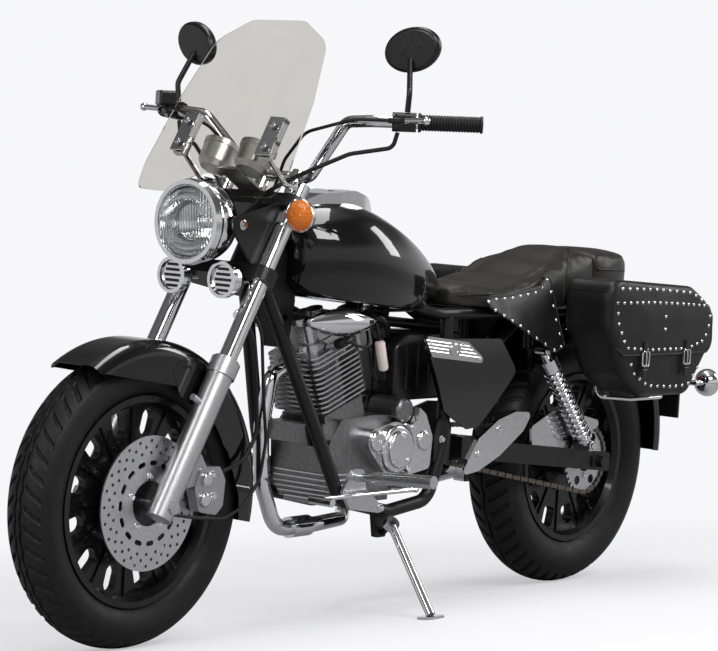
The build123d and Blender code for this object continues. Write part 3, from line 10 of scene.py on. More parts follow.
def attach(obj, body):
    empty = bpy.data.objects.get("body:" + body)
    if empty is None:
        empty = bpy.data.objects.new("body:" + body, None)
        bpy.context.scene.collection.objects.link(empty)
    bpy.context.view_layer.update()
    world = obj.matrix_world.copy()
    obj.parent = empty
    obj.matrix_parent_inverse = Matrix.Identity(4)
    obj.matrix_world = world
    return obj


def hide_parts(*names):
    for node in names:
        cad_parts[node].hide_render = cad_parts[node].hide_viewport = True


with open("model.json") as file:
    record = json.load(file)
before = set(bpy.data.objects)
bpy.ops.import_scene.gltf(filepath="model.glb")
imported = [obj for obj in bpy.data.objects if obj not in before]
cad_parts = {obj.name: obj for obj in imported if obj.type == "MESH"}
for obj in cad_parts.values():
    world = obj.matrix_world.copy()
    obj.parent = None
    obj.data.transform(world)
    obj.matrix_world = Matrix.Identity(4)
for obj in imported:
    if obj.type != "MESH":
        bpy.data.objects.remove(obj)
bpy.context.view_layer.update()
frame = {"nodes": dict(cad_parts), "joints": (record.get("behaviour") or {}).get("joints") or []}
JOINTS = {joint["name"]: joint for joint in frame["joints"]}
NODES = frame["nodes"]

# Places below are in millimetres on the upright bike: X ahead of the rear axle, Y left, Z above the ground
REAR_TYRE_R = 308.0
FRONT_TYRE_R = 302.0
TURN = 2 * math.pi
LEFT = Vector((0, 1, 0))
RIGHT = Vector((0, -1, 0))


def bike_matrix():
    # From the upright bike in millimetres to the leaning bike in metres
    across = Vector(JOINTS["rear_wheel_spin"]["axis"])
    ahead = Vector((1, 0, 0))
    up = ahead.cross(across)
    axle = Vector(JOINTS["rear_wheel_spin"]["pos_m"])
    turn = Matrix((ahead, across, up)).transposed().to_4x4()
    return Matrix.Translation(axle - up * REAR_TYRE_R / 1000) @ turn @ Matrix.Scale(0.001, 4)


BIKE = bike_matrix()
BIKE_INV = BIKE.inverted()


def joint_point(name):
    # A joint's place on the upright bike, in millimetres
    return BIKE_INV @ Vector(JOINTS[name]["pos_m"])


# Materials


def new_material(name):
    made = bpy.data.materials.new(name)
    made.use_nodes = True
    tree = made.node_tree
    return made, tree, tree.nodes["Principled BSDF"]


def add_node(tree, kind, **inputs):
    node = tree.nodes.new(kind)
    for key, value in inputs.items():
        node.inputs[key.replace("_", " ")].default_value = value
    return node


def noise(tree, scale, detail=4.0):
    coordinates = tree.nodes.new("ShaderNodeTexCoord")
    made = add_node(tree, "ShaderNodeTexNoise", Scale=scale, Detail=detail)
    tree.links.new(coordinates.outputs["Object"], made.inputs["Vector"])
    return made.outputs["Fac"]


def cells(tree, scale):
    coordinates = tree.nodes.new("ShaderNodeTexCoord")
    made = add_node(tree, "ShaderNodeTexVoronoi", Scale=scale)
    made.feature = "DISTANCE_TO_EDGE"
    tree.links.new(coordinates.outputs["Object"], made.inputs["Vector"])
    return made.outputs["Distance"]


def spread(tree, source, low, high):
    # A value between low and high that follows a pattern
    made = add_node(tree, "ShaderNodeMapRange", From_Min=0.3, From_Max=0.7, To_Min=low, To_Max=high)
    tree.links.new(source, made.inputs["Value"])
    return made.outputs["Result"]


def tint(tree, source, dark, pale):
    ramp = tree.nodes.new("ShaderNodeValToRGB")
    ramp.color_ramp.elements[0].position = 0.35
    ramp.color_ramp.elements[1].position = 0.65
    ramp.color_ramp.elements[0].color = (*dark, 1)
    ramp.color_ramp.elements[1].color = (*pale, 1)
    tree.links.new(source, ramp.inputs["Fac"])
    return ramp.outputs["Color"]


def bump(tree, shader, source, depth, strength=1.0):
    made = add_node(tree, "ShaderNodeBump", Strength=strength, Distance=depth)
    tree.links.new(source, made.inputs["Height"])
    tree.links.new(made.outputs["Normal"], shader.inputs["Normal"])


def finish(name, dark, pale, rough, metal=0.0, grain=60.0, fine=900.0, depth=0.00001, coat=0.0, gloss=0.5):
    # A solid finish: colour and roughness vary by a broad pattern, and a fine one gives it a texture
    made, tree, shader = new_material(name)
    tree.links.new(tint(tree, noise(tree, grain), dark, pale), shader.inputs["Base Color"])
    tree.links.new(spread(tree, noise(tree, grain * 2.3), *rough), shader.inputs["Roughness"])
    shader.inputs["Metallic"].default_value = metal
    shader.inputs["Specular IOR Level"].default_value = gloss
    shader.inputs["Coat Weight"].default_value = coat
    shader.inputs["Coat Roughness"].default_value = 0.04
    bump(tree, shader, noise(tree, fine, 3.0), depth)
    return made


def leather(name, dark, pale, depth, rough):
    # Grain cells over a soft, uneven colour
    made, tree, shader = new_material(name)
    tree.links.new(tint(tree, noise(tree, 14.0), dark, pale), shader.inputs["Base Color"])
    tree.links.new(spread(tree, noise(tree, 40.0), *rough), shader.inputs["Roughness"])
    shader.inputs["Specular IOR Level"].default_value = 0.32
    bump(tree, shader, cells(tree, 520.0), depth, 0.7)
    return made


def lens(name, color, transmission, rough, flutes, ior=1.45, prisms=0):
    # Clear or tinted glass, with fine upright flutes or small prisms where their number isn't 0
    made, tree, shader = new_material(name)
    dark = tuple(0.96 * part for part in color)
    tree.links.new(tint(tree, noise(tree, 12.0), dark, color), shader.inputs["Base Color"])
    shader.inputs["Transmission Weight"].default_value = transmission
    shader.inputs["IOR"].default_value = ior
    tree.links.new(spread(tree, noise(tree, 30.0), rough, rough * 1.6), shader.inputs["Roughness"])
    if flutes:
        coordinates = tree.nodes.new("ShaderNodeTexCoord")
        wave = add_node(tree, "ShaderNodeTexWave", Scale=flutes)
        wave.bands_direction = "Y"
        tree.links.new(coordinates.outputs["Object"], wave.inputs["Vector"])
        bump(tree, shader, wave.outputs["Fac"], 0.001, 0.5)
    if prisms:
        bump(tree, shader, cells(tree, prisms), 0.004, 0.8)
    return made


PAINT = finish(
    "black_paint", (0.0012, 0.0012, 0.0014), (0.0022, 0.0022, 0.0025), (0.30, 0.38), coat=1.0, gloss=0.05,
)
SATIN = finish(
    "satin_black", (0.004, 0.004, 0.0045), (0.007, 0.007, 0.0075), (0.30, 0.42), grain=120.0, gloss=0.3,
)
RIM_PAINT = finish(
    "rim_black", (0.003, 0.003, 0.0033), (0.005, 0.005, 0.0055), (0.26, 0.34), coat=0.25, gloss=0.25,
)
CHROME = finish("chrome", (0.70, 0.70, 0.71), (0.75, 0.75, 0.755), (0.04, 0.08), 1.0, 90.0, 900.0, 0.000001)
POLISHED = finish(
    "polished_alloy", (0.60, 0.60, 0.605), (0.68, 0.68, 0.68), (0.13, 0.21), 1.0, 120.0, 1600.0, 0.000003,
)
ALLOY = finish(
    "bare_alloy", (0.50, 0.50, 0.51), (0.56, 0.56, 0.56), (0.24, 0.33), 1.0, 160.0, 1600.0, 0.000005,
)
# Cast alloy made darker as painted shade: the engine case's colour stands in for the shade behind its covers
CASE_PAINTED_SHADE = finish(
    "engine_case", (0.17, 0.17, 0.173), (0.23, 0.23, 0.232), (0.34, 0.44), 1.0, 120.0, 1400.0, 0.00003,
)
CAST = finish(
    "cast_alloy", (0.36, 0.36, 0.365), (0.42, 0.42, 0.425), (0.34, 0.44), 1.0, 160.0, 1400.0, 0.00002,
)
SLIDER = finish(
    "slider_alloy", (0.46, 0.46, 0.47), (0.51, 0.51, 0.515), (0.30, 0.38), 1.0, 160.0, 1800.0, 0.000006,
)
STEEL = finish(
    "disc_steel", (0.50, 0.50, 0.505), (0.57, 0.57, 0.575), (0.28, 0.38), 1.0, 220.0, 2000.0, 0.000006,
)
CHAIN = finish("chain_steel", (0.10, 0.085, 0.07), (0.20, 0.17, 0.145), (0.34, 0.50), 1.0, 200.0)
TYRE = finish(
    "tyre_rubber", (0.0035, 0.0035, 0.0037), (0.0065, 0.0065, 0.0068), (0.46, 0.60), grain=30.0,
    depth=0.00002, gloss=0.26,
)
RUBBER = finish("soft_rubber", (0.004, 0.004, 0.004), (0.007, 0.007, 0.007), (0.42, 0.56), gloss=0.3)
PLASTIC = finish("black_plastic", (0.004, 0.004, 0.0045), (0.007, 0.007, 0.0075), (0.24, 0.34), gloss=0.4)
LEATHER = leather("black_leather", (0.0035, 0.0035, 0.0038), (0.0065, 0.0064, 0.0065), 0.00015, (0.34, 0.48))
# Seat leather: a warm tone of its own, kept lighter than the black leather as painted sheen
SEAT_LEATHER_PAINTED_SHEEN = leather("seat_leather_painted_sheen", (0.012, 0.011, 0.0098), (0.020, 0.0182, 0.0162), 0.00013, (0.40, 0.52))
PIPING = leather("piping_leather", (0.003, 0.003, 0.003), (0.006, 0.006, 0.006), 0.0001, (0.40, 0.55))
CLEAR = lens("clear_screen", (0.90, 0.885, 0.83), 1.0, 0.01, 0, 1.12)
LAMP_GLASS = lens("lamp_glass", (0.97, 0.98, 0.99), 1.0, 0.01, 45.0)
DIAL_GLASS = lens("dial_glass", (0.97, 0.98, 0.99), 1.0, 0.01, 0)
AMBER = lens("amber_lens", (0.78, 0.20, 0.008), 0.35, 0.04, 0, 1.45, 170.0)
RED = lens("red_lens", (0.50, 0.008, 0.008), 0.35, 0.05, 0, 1.45, 140.0)
MIRROR_GLASS = finish(
    "mirror_glass", (0.80, 0.82, 0.83), (0.84, 0.86, 0.87), (0.01, 0.02), 1.0, 20.0, 200.0, 0.000001,
)
FILTER = lens("filter_plastic", (0.92, 0.80, 0.75), 0.25, 0.25, 0)
DIAL = finish(
    "dial_black", (0.006, 0.006, 0.0065), (0.012, 0.012, 0.0125), (0.40, 0.55), grain=200.0, gloss=0.3,
)
TICK = finish("dial_white", (0.70, 0.70, 0.68), (0.80, 0.80, 0.78), (0.45, 0.60), grain=200.0)

# Each node's look
LOOK = [
    (TYRE, "front_tyre rear_tyre"),
    (RIM_PAINT, "front_rim rear_rim"),
    (STEEL, "front_disc rear_sprocket"),
    (CHAIN, "drive_chain"),
    (SATIN, "frame swingarm plate_holder yokes"),
    # The engine case takes the darker alloy, as painted shade
    (CASE_PAINTED_SHADE, "engine_case"),
    (ALLOY, "cylinder footpegs"),
    (POLISHED, "engine_covers side_trims chain_guards"),
    (CAST, "carburettor brake_caliper"),
    (SLIDER, "fork_sliders gauges"),
    (CHROME, "shock_absorbers intake_covers exhaust tank_console rear_signals bag_rails foot_controls"),
    (CHROME, "fork_tubes headlight handlebar screen_brackets front_signals horns side_stand hand_levers"),
    (PAINT, "fuel_tank rear_fender side_covers front_fender"),
    (SEAT_LEATHER_PAINTED_SHEEN, "seat pillion_seat"),
    (LEATHER, "seat_skirts saddlebag_left saddlebag_right bag_lid_left bag_lid_right"),
    (RED, "tail_light"),
    (AMBER, "rear_signal_lenses front_signal_lenses"),
    (LAMP_GLASS, "headlight_lens"),
    (CLEAR, "windscreen"),
    (RUBBER, "grips brake_hose control_cables"),
    (PLASTIC, "mirrors hand_controls"),
]
for look, names in LOOK:
    for node_name in names.split():
        mesh = NODES[node_name].data
        mesh.materials.clear()
        mesh.materials.append(look)


# Mesh helpers, in the upright bike's millimetres


class Shape:
    # The points and faces of one piece
    def __init__(self):
        self.points = []
        self.faces = []

    def skin(self, rows, around=False, closed=False):
        # Faces over rows of points: around joins each row's ends, closed joins the last row to the first
        first = len(self.points)
        wide = len(rows[0])
        for row in rows:
            self.points.extend(Vector(point) for point in row)
        for i in range(len(rows) if closed else len(rows) - 1):
            here = first + i * wide
            after = first + (i + 1) % len(rows) * wide
            for k in range(wide if around else wide - 1):
                n = (k + 1) % wide
                self.faces.append((here + k, here + n, after + n, after + k))
        return first

    def capped(self, rows):
        # A closed skin over rings of points, with a face on each end
        first = self.skin(rows, around=True)
        wide = len(rows[0])
        last = first + (len(rows) - 1) * wide
        self.faces.append(tuple(range(first + wide - 1, first - 1, -1)))
        self.faces.append(tuple(range(last, last + wide)))

    def turned(self, profile, at, along, count=20):
        # A profile of (distance, radius) turned about a line
        axis = Vector(along).normalized()
        side = axis.orthogonal().normalized()
        over = axis.cross(side)
        rows = []
        for distance, radius in profile:
            base = Vector(at) + axis * distance
            angles = [TURN * k / count for k in range(count)]
            rows.append([base + (side * math.cos(a) + over * math.sin(a)) * radius for a in angles])
        self.capped(rows)

    def slab(self, outline, at, across, up, height, edge):
        # An outline raised from a plane, with a chamfered top edge
        out = across.cross(up)
        middle = sum((Vector(p) for p in outline), Vector((0, 0))) / len(outline)
        rows = []
        for level, inset in ((0, 0), (height - edge, 0), (height, edge)):
            row = []
            for p in outline:
                flat = Vector(p)
                flat = flat + (middle - flat).normalized() * inset
                row.append(Vector(at) + across * flat.x + up * flat.y + out * level)
            rows.append(row)
        self.capped(rows)

    def tube(self, path, radius, sides=8, loop=False):
        # A round tube along close points
        path = [Vector(p) for p in path]
        count = len(path)
        rows = []
        side = None
        for i in range(count):
            after = path[(i + 1) % count] if loop or i < count - 1 else path[i]
            before = path[i - 1] if loop or i > 0 else path[i]
            along = (after - before).normalized()
            side = along.orthogonal() if side is None else side - along * side.dot(along)
            side = side.normalized()
            over = along.cross(side)
            angles = [TURN * k / sides for k in range(sides)]
            rows.append([path[i] + (side * math.cos(a) + over * math.sin(a)) * radius for a in angles])
        if loop:
            self.skin(rows, around=True, closed=True)
        else:
            self.capped(rows)

    def mirrored(self):
        # Adds the same on the other side of the bike
        first = len(self.points)
        self.points.extend([Vector((p.x, -p.y, p.z)) for p in self.points])
        self.faces.extend([tuple(first + i for i in reversed(face)) for face in self.faces])


def add_piece(name, shape, body, look, sharp=40.0):
    # A shape as a piece that rides on a body
    made = bpy.data.meshes.new(name)
    made.from_pydata([BIKE @ point for point in shape.points], [], shape.faces)
    edit = bmesh.new()
    edit.from_mesh(made)
    bmesh.ops.recalc_face_normals(edit, faces=edit.faces)
    edit.to_mesh(made)
    edit.free()
    made.materials.append(look)
    made.shade_smooth()
    made.set_sharp_from_angle(angle=math.radians(sharp))
    piece = bpy.data.objects.new(name, made)
    bpy.context.scene.collection.objects.link(piece)
    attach(piece, body)
    return piece


def settle(piece):
    # Works the piece's modifiers into its mesh
    bpy.context.view_layer.update()
    graph = bpy.context.evaluated_depsgraph_get()
    made = bpy.data.meshes.new_from_object(piece.evaluated_get(graph))
    piece.modifiers.clear()
    piece.data = made


def arc(start, middle, end, count):
    # Points on the arc through three (y, radius) points, with both ends
    a, b, c = Vector(start), Vector(middle), Vector(end)
    d = 2 * (a.x * (b.y - c.y) + b.x * (c.y - a.y) + c.x * (a.y - b.y))
    sa, sb, sc = a.dot(a), b.dot(b), c.dot(c)
    eye = Vector((
        (sa * (b.y - c.y) + sb * (c.y - a.y) + sc * (a.y - b.y)) / d,
        (sa * (c.x - b.x) + sb * (a.x - c.x) + sc * (b.x - a.x)) / d,
    ))
    radius = (a - eye).length
    first = math.atan2(a.y - eye.y, a.x - eye.x)
    mid = (math.atan2(b.y - eye.y, b.x - eye.x) - first) % TURN
    last = (math.atan2(c.y - eye.y, c.x - eye.x) - first) % TURN
    if mid > last:
        last -= TURN
    angles = [first + last * k / (count - 1) for k in range(count)]
    return [(eye.x + radius * math.cos(t), eye.y + radius * math.sin(t)) for t in angles]


def resample(points, count, closed=False):
    # Evenly spaced points along a line of points
    path = [Vector(p) for p in points]
    if closed:
        path.append(path[0])
    lengths = [(b - a).length for a, b in zip(path, path[1:])]
    total = sum(lengths)
    made = []
    for k in range(count):
        left = total * k / (count if closed else count - 1)
        i = 0
        while i < len(lengths) - 1 and left > lengths[i]:
            left -= lengths[i]
            i += 1
        made.append(path[i].lerp(path[i + 1], min(1.0, left / max(lengths[i], 1e-9))))
    return made


def rounded(corners, radius, closed=True):
    # A flat outline with round corners, as points
    made = []
    count = len(corners)
    for i, corner in enumerate(corners):
        c = Vector(corner)
        if not closed and i in (0, count - 1):
            made.append(c)
            continue
        a = Vector(corners[i - 1]) - c
        b = Vector(corners[(i + 1) % count]) - c
        half = a.angle(b) / 2
        reach = min(radius / math.tan(half), 0.48 * a.length, 0.48 * b.length)
        start = c + a.normalized() * reach
        end = c + b.normalized() * reach
        for k in range(9):
            t = k / 8
            made.append(start * (1 - t) ** 2 + c * 2 * t * (1 - t) + end * t ** 2)
    return made


def surface_of(piece):
    # A piece's faces for finding places on it, in the upright bike's millimetres
    mesh = piece.data
    points = [BIKE_INV @ vertex.co for vertex in mesh.vertices]
    return BVHTree.FromPolygons(points, [tuple(polygon.vertices) for polygon in mesh.polygons])


SIDE_START = 600.0


def from_side(tree, x, z, side):
    # The place where a level line from the left (1) or right (-1) meets a surface, and its normal
    place, normal, _, _ = tree.ray_cast(Vector((x, side * SIDE_START, z)), Vector((0, -side, 0)))
    if place is None:
        return None, None
    if normal.y * side < 0:
        normal.negate()
    return place, normal


def traced(tree, points, side, lift, least=0.0):
    # Places along a side view's line, a little proud of a surface, where it faces the side at least so far
    made = []
    for x, z in points:
        place, normal = from_side(tree, x, z, side)
        if place is not None and abs(normal.y) >= least:
            made.append(place + normal * lift)
    return made


# Tyres with their tread


def ramp(value, low, high):
    # From 0 at low to 1 at high, eased
    t = min(1.0, max(0.0, (value - low) / (high - low)))
    return t * t * (3 - 2 * t)


def front_groove(u, v):
    # Depth of the front tread's grooves: two zigzags by the middle, and slanted cuts on the shoulders
    zig = 0.04 * (abs((u * 2 % 1) * 4 - 2) - 1)
    depth = 6.0 * (1 - ramp(abs(abs(v) - 0.14 - zig), 0.030, 0.055))
    if 0.26 < abs(v) < 0.98:
        phase = (u * 2 + (0.5 if v < 0 else 0.0) + 1.15 * abs(v)) % 1 - 0.5
        long = ramp(abs(v), 0.27, 0.33) * (1 - ramp(abs(v), 0.90, 0.97))
        depth = max(depth, 6.0 * long * (1 - ramp(abs(phase), 0.10, 0.16)))
    return depth


def rear_groove(u, v):
    # Depth of the rear tread's grooves: one zigzag in the middle, long slanted cuts and short ones between
    zig = 0.05 * (abs((u % 1) * 4 - 2) - 1)
    depth = 6.0 * (1 - ramp(abs(v - zig), 0.030, 0.055))
    if 0.12 < abs(v) < 0.99:
        phase = (u * 2 + (0.5 if v < 0 else 0.0) - 0.9 * abs(v)) % 1 - 0.5
        long = ramp(abs(v), 0.14, 0.20) * (1 - ramp(abs(v), 0.93, 0.99))
        depth = max(depth, 6.0 * long * (1 - ramp(abs(phase), 0.10, 0.16)))
    return depth


TREAD_STEPS = 64
SIDE_STEPS = 12
ROUND_STEPS = 576
BEAD_FIT = 0.25
FLANGE_H = 9.0


def make_tyre(name, node, joint, body, sizes, groove, repeats):
    width, radius, rim_r, rim_w = sizes
    bead = rim_w / 2 - BEAD_FIT
    seat = rim_r + BEAD_FIT
    side = width / 2
    lip = seat + FLANGE_H
    middle = (seat + radius) / 2
    edge = 0.86 * side
    edge_r = radius - 0.42 * edge
    wall = arc((bead, lip), (side, middle), (edge, edge_r), SIDE_STEPS)
    tread = arc((edge, edge_r), (0, radius), (-edge, edge_r), TREAD_STEPS)
    section = [(bead, seat, None)]
    for k, (y, r) in enumerate(wall[:-1]):
        # Two moulded rings stand on each wall
        section.append((y + (0.9 if k in (2, 8) else 0.0), r, None))
    for y, r in tread:
        section.append((y, r, y / edge))
    for y, r, _ in reversed(section[1:SIDE_STEPS]):
        section.append((-y, r, None))
    section.append((-bead, seat, None))
    axle = joint_point(joint)
    rows = []
    for k in range(ROUND_STEPS):
        angle = TURN * k / ROUND_STEPS
        u = repeats * k / ROUND_STEPS
        row = []
        for y, r, v in section:
            reach = r if v is None else r - groove(u, v)
            row.append(axle + Vector((reach * math.cos(angle), y, reach * math.sin(angle))))
        rows.append(row)
    shape = Shape()
    shape.skin(rows, around=True, closed=True)
    piece = add_piece(name, shape, body, TYRE, 32.0)
    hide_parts(node)


FRONT_SIZES = (112.0, FRONT_TYRE_R, 206.0, 72.0)
REAR_SIZES = (132.0, REAR_TYRE_R, 195.0, 88.0)
make_tyre("front_tyre_tread", "front_tyre", "front_wheel_spin", "front_wheel", FRONT_SIZES, front_groove, 24)
make_tyre("rear_tyre_tread", "rear_tyre", "rear_wheel_spin", "rear_wheel", REAR_SIZES, rear_groove, 24)
FRONT_AXLE = joint_point("front_wheel_spin")
REAR_AXLE = joint_point("rear_wheel_spin")

# Valve stems, through each rim's barrel toward the axle
VALVES = [("front_valve", FRONT_AXLE, "front_wheel", 196.0), ("rear_valve", REAR_AXLE, "rear_wheel", 185.0)]
for name, axle, body, reach in VALVES:
    shape = Shape()
    lean = Vector((math.cos(4.0), 0, math.sin(4.0)))
    stem = [(0, 6.0), (4, 6.0), (7, 3.6), (22, 3.4), (23, 4.2), (32, 4.2), (34, 3.0)]
    shape.turned(stem, axle + lean * reach + Vector((0, 26, 0)), -lean, 12)
    add_piece(name, shape, body, RUBBER)

# Seats: swollen by cloth simulation, with a crowned top
SIM_FRAMES = 20
SIM_PRESSURE = 3.0
SEAT_HALF = 126.0
REAR_HALF = 108.0
PAD_HALF = 104.0
PAD_ROUND = -30.0
PAD_REAR = -214.0


def rider_form(place):
    # A dish inside a rolled border, and a lower part behind the round rear edge
    edge = 1 - abs(place.y) / SEAT_HALF
    dish = ramp(edge, 0.10, 0.45) * ramp(place.x, 90, 210) * (1 - ramp(place.x, 280, 420))
    high = ramp(place.z, 700, 745)
    past = rear_edge(place.y) - place.x
    behind = ramp(past, -3, 12)
    rise = 13 * math.exp(-((place.x - 335) / 60) ** 2) - 9 * math.exp(-((place.x - 228) / 45) ** 2)
    place.z += high * (rise - 8 * dish - 2 * behind - 5 * math.exp(-(past / 7) ** 2))
    wide = REAR_HALF + (SEAT_HALF - REAR_HALF) * min(1.0, max(0.0, (place.x - 20) / 150))
    place.y *= 1 - behind * (1 - PAD_HALF / wide)
    return place


def rear_edge(y):
    # Where the rider's part ends, further ahead toward the sides
    return 64 + 118 * min(1.0, abs(y) / 116) ** 2.2


def pillion_form(place):
    # A rear end that is round seen from above
    behind = min(1.0, max(0.0, (PAD_ROUND - place.x) / (PAD_ROUND - PAD_REAR)))
    aside = max(-1.0, min(1.0, place.y / REAR_HALF))
    if behind > 0:
        place.x = PAD_ROUND - (PAD_ROUND + 190) * behind * math.sqrt(1 - aside ** 2 / 2)
        place.y *= math.sqrt(1 - behind ** 2 / 2)
    return place


def remeshed(name, node, voxel, iterations):
    # A node's solid as an even mesh with rounded edges
    source = NODES[node]
    piece = bpy.data.objects.new(name, source.data.copy())
    piece.data.transform(source.matrix_world)
    bpy.context.scene.collection.objects.link(piece)
    remesh = piece.modifiers.new("remesh", "REMESH")
    remesh.mode = "VOXEL"
    remesh.voxel_size = voxel / 1000
    rounding = piece.modifiers.new("rounding", "SMOOTH")
    rounding.factor = 0.5
    rounding.iterations = iterations
    settle(piece)
    return piece


def puffed(name, node, voxel, rest_z, crown, cap, ends, form):
    # A node's solid remeshed, rounded, crowned across, formed and swollen; ends are its X limits
    piece = remeshed(name, node, voxel, 22)
    half = max(abs((BIKE_INV @ v.co).y) for v in piece.data.vertices)
    for vertex in piece.data.vertices:
        place = BIKE_INV @ vertex.co
        high = ramp(place.z, rest_z + 10, rest_z + 70)
        place.z -= crown * high * (abs(place.y) / half) ** 2.4
        vertex.co = BIKE @ form(place)
    start = [BIKE_INV @ v.co for v in piece.data.vertices]
    cloth = piece.modifiers.new("cloth", "CLOTH")
    cloth.settings.quality = 4
    cloth.settings.mass = 0.3
    cloth.settings.use_pressure = True
    cloth.settings.uniform_pressure_force = SIM_PRESSURE
    cloth.settings.effector_weights.gravity = 0.0
    for step in range(1, SIM_FRAMES + 1):
        bpy.context.scene.frame_set(step)
    settle(piece)
    bpy.context.scene.frame_set(1)
    for vertex, before in zip(piece.data.vertices, start):
        place = BIKE_INV @ vertex.co
        free = cap * ramp(before.z, rest_z + 2, rest_z + 40)
        free *= ramp(before.x, ends[0], ends[0] + 30) * (1 - ramp(before.x, ends[1] - 60, ends[1]))
        move = place - before
        if move.length > free:
            move = move.normalized() * free
        vertex.co = BIKE @ (before + move)
    tight = piece.modifiers.new("tight", "SMOOTH")
    tight.factor = 0.5
    tight.iterations = 7
    finer = piece.modifiers.new("finer", "SUBSURF")
    finer.levels = 1
    settle(piece)
    # The seats take the lighter leather, with its painted sheen
    piece.data.materials.clear()
    piece.data.materials.append(SEAT_LEATHER_PAINTED_SHEEN)
    piece.data.shade_smooth()
    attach(piece, "chassis")
    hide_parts(node)
    return piece


rider = puffed("rider_seat", "seat", 5.0, 685.0, 14.0, 7.0, (40.0, 590.0), rider_form)
pillion = puffed("pillion_pad", "pillion_seat", 5.0, 703.0, 10.0, 6.0, (PAD_REAR, 36.0), pillion_form)

# Piping along the seats' seams
SEAM = [(556, 712), (430, 718), (320, 736), (258, 766), (216, 782)]
PAD_SEAM = [(28, 770), (-60, 768), (-120, 764)]
piping = Shape()
for piece, seam in ((rider, SEAM), (pillion, PAD_SEAM)):
    tree = surface_of(piece)
    for side in (1, -1):
        line = resample(rounded(seam, 40, closed=False), 60)
        piping.tube(traced(tree, line, side, 0.6, 0.4), 2.2)
tree = surface_of(rider)
path = []
for k in range(61):
    y = 114 * (k / 30 - 1)
    place, _, _, _ = tree.ray_cast(Vector((rear_edge(y) - 1, y, 950)), Vector((0, 0, -1)))
    if place is not None and place.z > 740:
        path.append(place + Vector((0, 0, 0.6)))
piping.tube(path, 2.2)
add_piece("seat_piping", piping, "chassis", PIPING)

# Seat skirts: leather flaps with waved lower edges
SKIRT = [(556, 706), (430, 716), (300, 735), (254, 770), (248, 640), (244, 588), (285, 575), (420, 640)]


def make_skirts():
    piece = remeshed("seat_skirt_leather", "seat_skirts", 2.2, 5)
    for vertex in piece.data.vertices:
        place = BIKE_INV @ vertex.co
        hang = 1 - ramp(place.z, 580, 710)
        side = 1 if place.y > 0 else -1
        place.y += side * hang * (2.5 * math.sin(place.x / 34) + 1.5 * chance.noise(place * 0.02))
        vertex.co = BIKE @ place
    piece.data.materials.clear()
    piece.data.materials.append(LEATHER)
    piece.data.shade_smooth()
    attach(piece, "chassis")
    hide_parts("seat_skirts")
    return piece


skirts = make_skirts()


# Studs: small domes in rows


def add_stud(shape, at, out, radius=4.4):
    dome = [(-1.0, radius), (0.5, radius), (1.6, radius * 0.82), (2.4, radius * 0.5), (2.7, radius * 0.1)]
    shape.turned(dome, at, out, 10)


def stud_row(shape, tree, path, spacing, side, closed=False):
    # Studs on a surface along a side view's line
    line = resample(path, 400, closed)
    total = sum((b - a).length for a, b in zip(line, line[1:]))
    count = max(2, round(total / spacing))
    for x, z in resample(path, count, closed):
        place, normal = from_side(tree, x, z, side)
        if place is not None:
            add_stud(shape, place, normal)


def inset(points, distance):
    # A closed outline moved toward its middle
    middle = sum((Vector(p) for p in points), Vector((0, 0))) / len(points)
    return [Vector(p) + (middle - Vector(p)).normalized() * distance for p in points]


skirt_studs = Shape()
skirt_tree = surface_of(skirts)
for side in (1, -1):
    stud_row(skirt_studs, skirt_tree, inset(rounded(SKIRT, 14), 15), 31, side, closed=True)
add_piece("skirt_studs", skirt_studs, "chassis", CHROME)

# The skirts lean out by the flare below their top line
SKIRT_TOP = 740
SKIRT_FLARE = math.radians(16)
binding = Shape()
border = []
for x, z in resample(inset(rounded(SKIRT, 14), 6), 160, closed=True):
    border.append((x, SKIRT_TOP - (SKIRT_TOP - z) * math.cos(SKIRT_FLARE)))
for side in (1, -1):
    binding.tube(traced(skirt_tree, border, side, 0.2), 1.8, 8, loop=True)
add_piece("skirt_binding", binding, "chassis", PIPING)

# Saddlebags: lofted leather shells with draped lids
BAG = [(238, 762), (226, 640), (150, 530), (66, 482), (-130, 480), (-224, 600), (-220, 690), (-120, 742)]
BAG_IN = 150.0
BAG_OUT = 281.0
BAG_RING = resample(rounded(BAG, 48), 150, closed=True)
BAG_EYE = sum(BAG_RING, Vector((0, 0))) / len(BAG_RING)
BAG_EDGE = 16.0
BAG_CROWN = 7.0
BAG_T = 3.6
LID_GAP = 5.25
LID_DEPTH = 32.0
TOP_SLOPE = 0.05587
HINGE_Z = 748.7
FLAP_LOW = 580.0


def bag_rows(high):
    # Rings of the bag's skin from the inner face to the outer one, and the first ring of the outer face
    sections = [(0.02, 0, BAG_IN), (0.4, 0, BAG_IN), (0.75, 0, BAG_IN)]
    for k in range(5):
        turn = k * math.pi / 8
        sections.append((1, BAG_EDGE * (1 - math.sin(turn)), BAG_IN + BAG_EDGE * (1 - math.cos(turn))))
    wide = high - BAG_IN - 2 * BAG_EDGE
    for k in range(1, 8):
        sections.append((1, 2.5 * math.sin(math.pi * k / 8), BAG_IN + BAG_EDGE + wide * k / 8))
    outer = len(sections)
    for k in range(5):
        turn = k * math.pi / 8
        sections.append((1, BAG_EDGE * (1 - math.cos(turn)), high - BAG_EDGE * (1 - math.sin(turn))))
    for scale in (0.92, 0.84, 0.76, 0.66, 0.55, 0.42, 0.28, 0.14, 0.02):
        sections.append((scale, BAG_EDGE * scale, high + BAG_CROWN * (1 - scale ** 2)))
    rows = []
    for scale, shrink, y in sections:
        row = []
        for p in BAG_RING:
            out = p - BAG_EYE
            flat = BAG_EYE + out * scale - out.normalized() * shrink
            row.append(Vector((flat.x, y, flat.y)))
        rows.append(row)
    return rows, outer


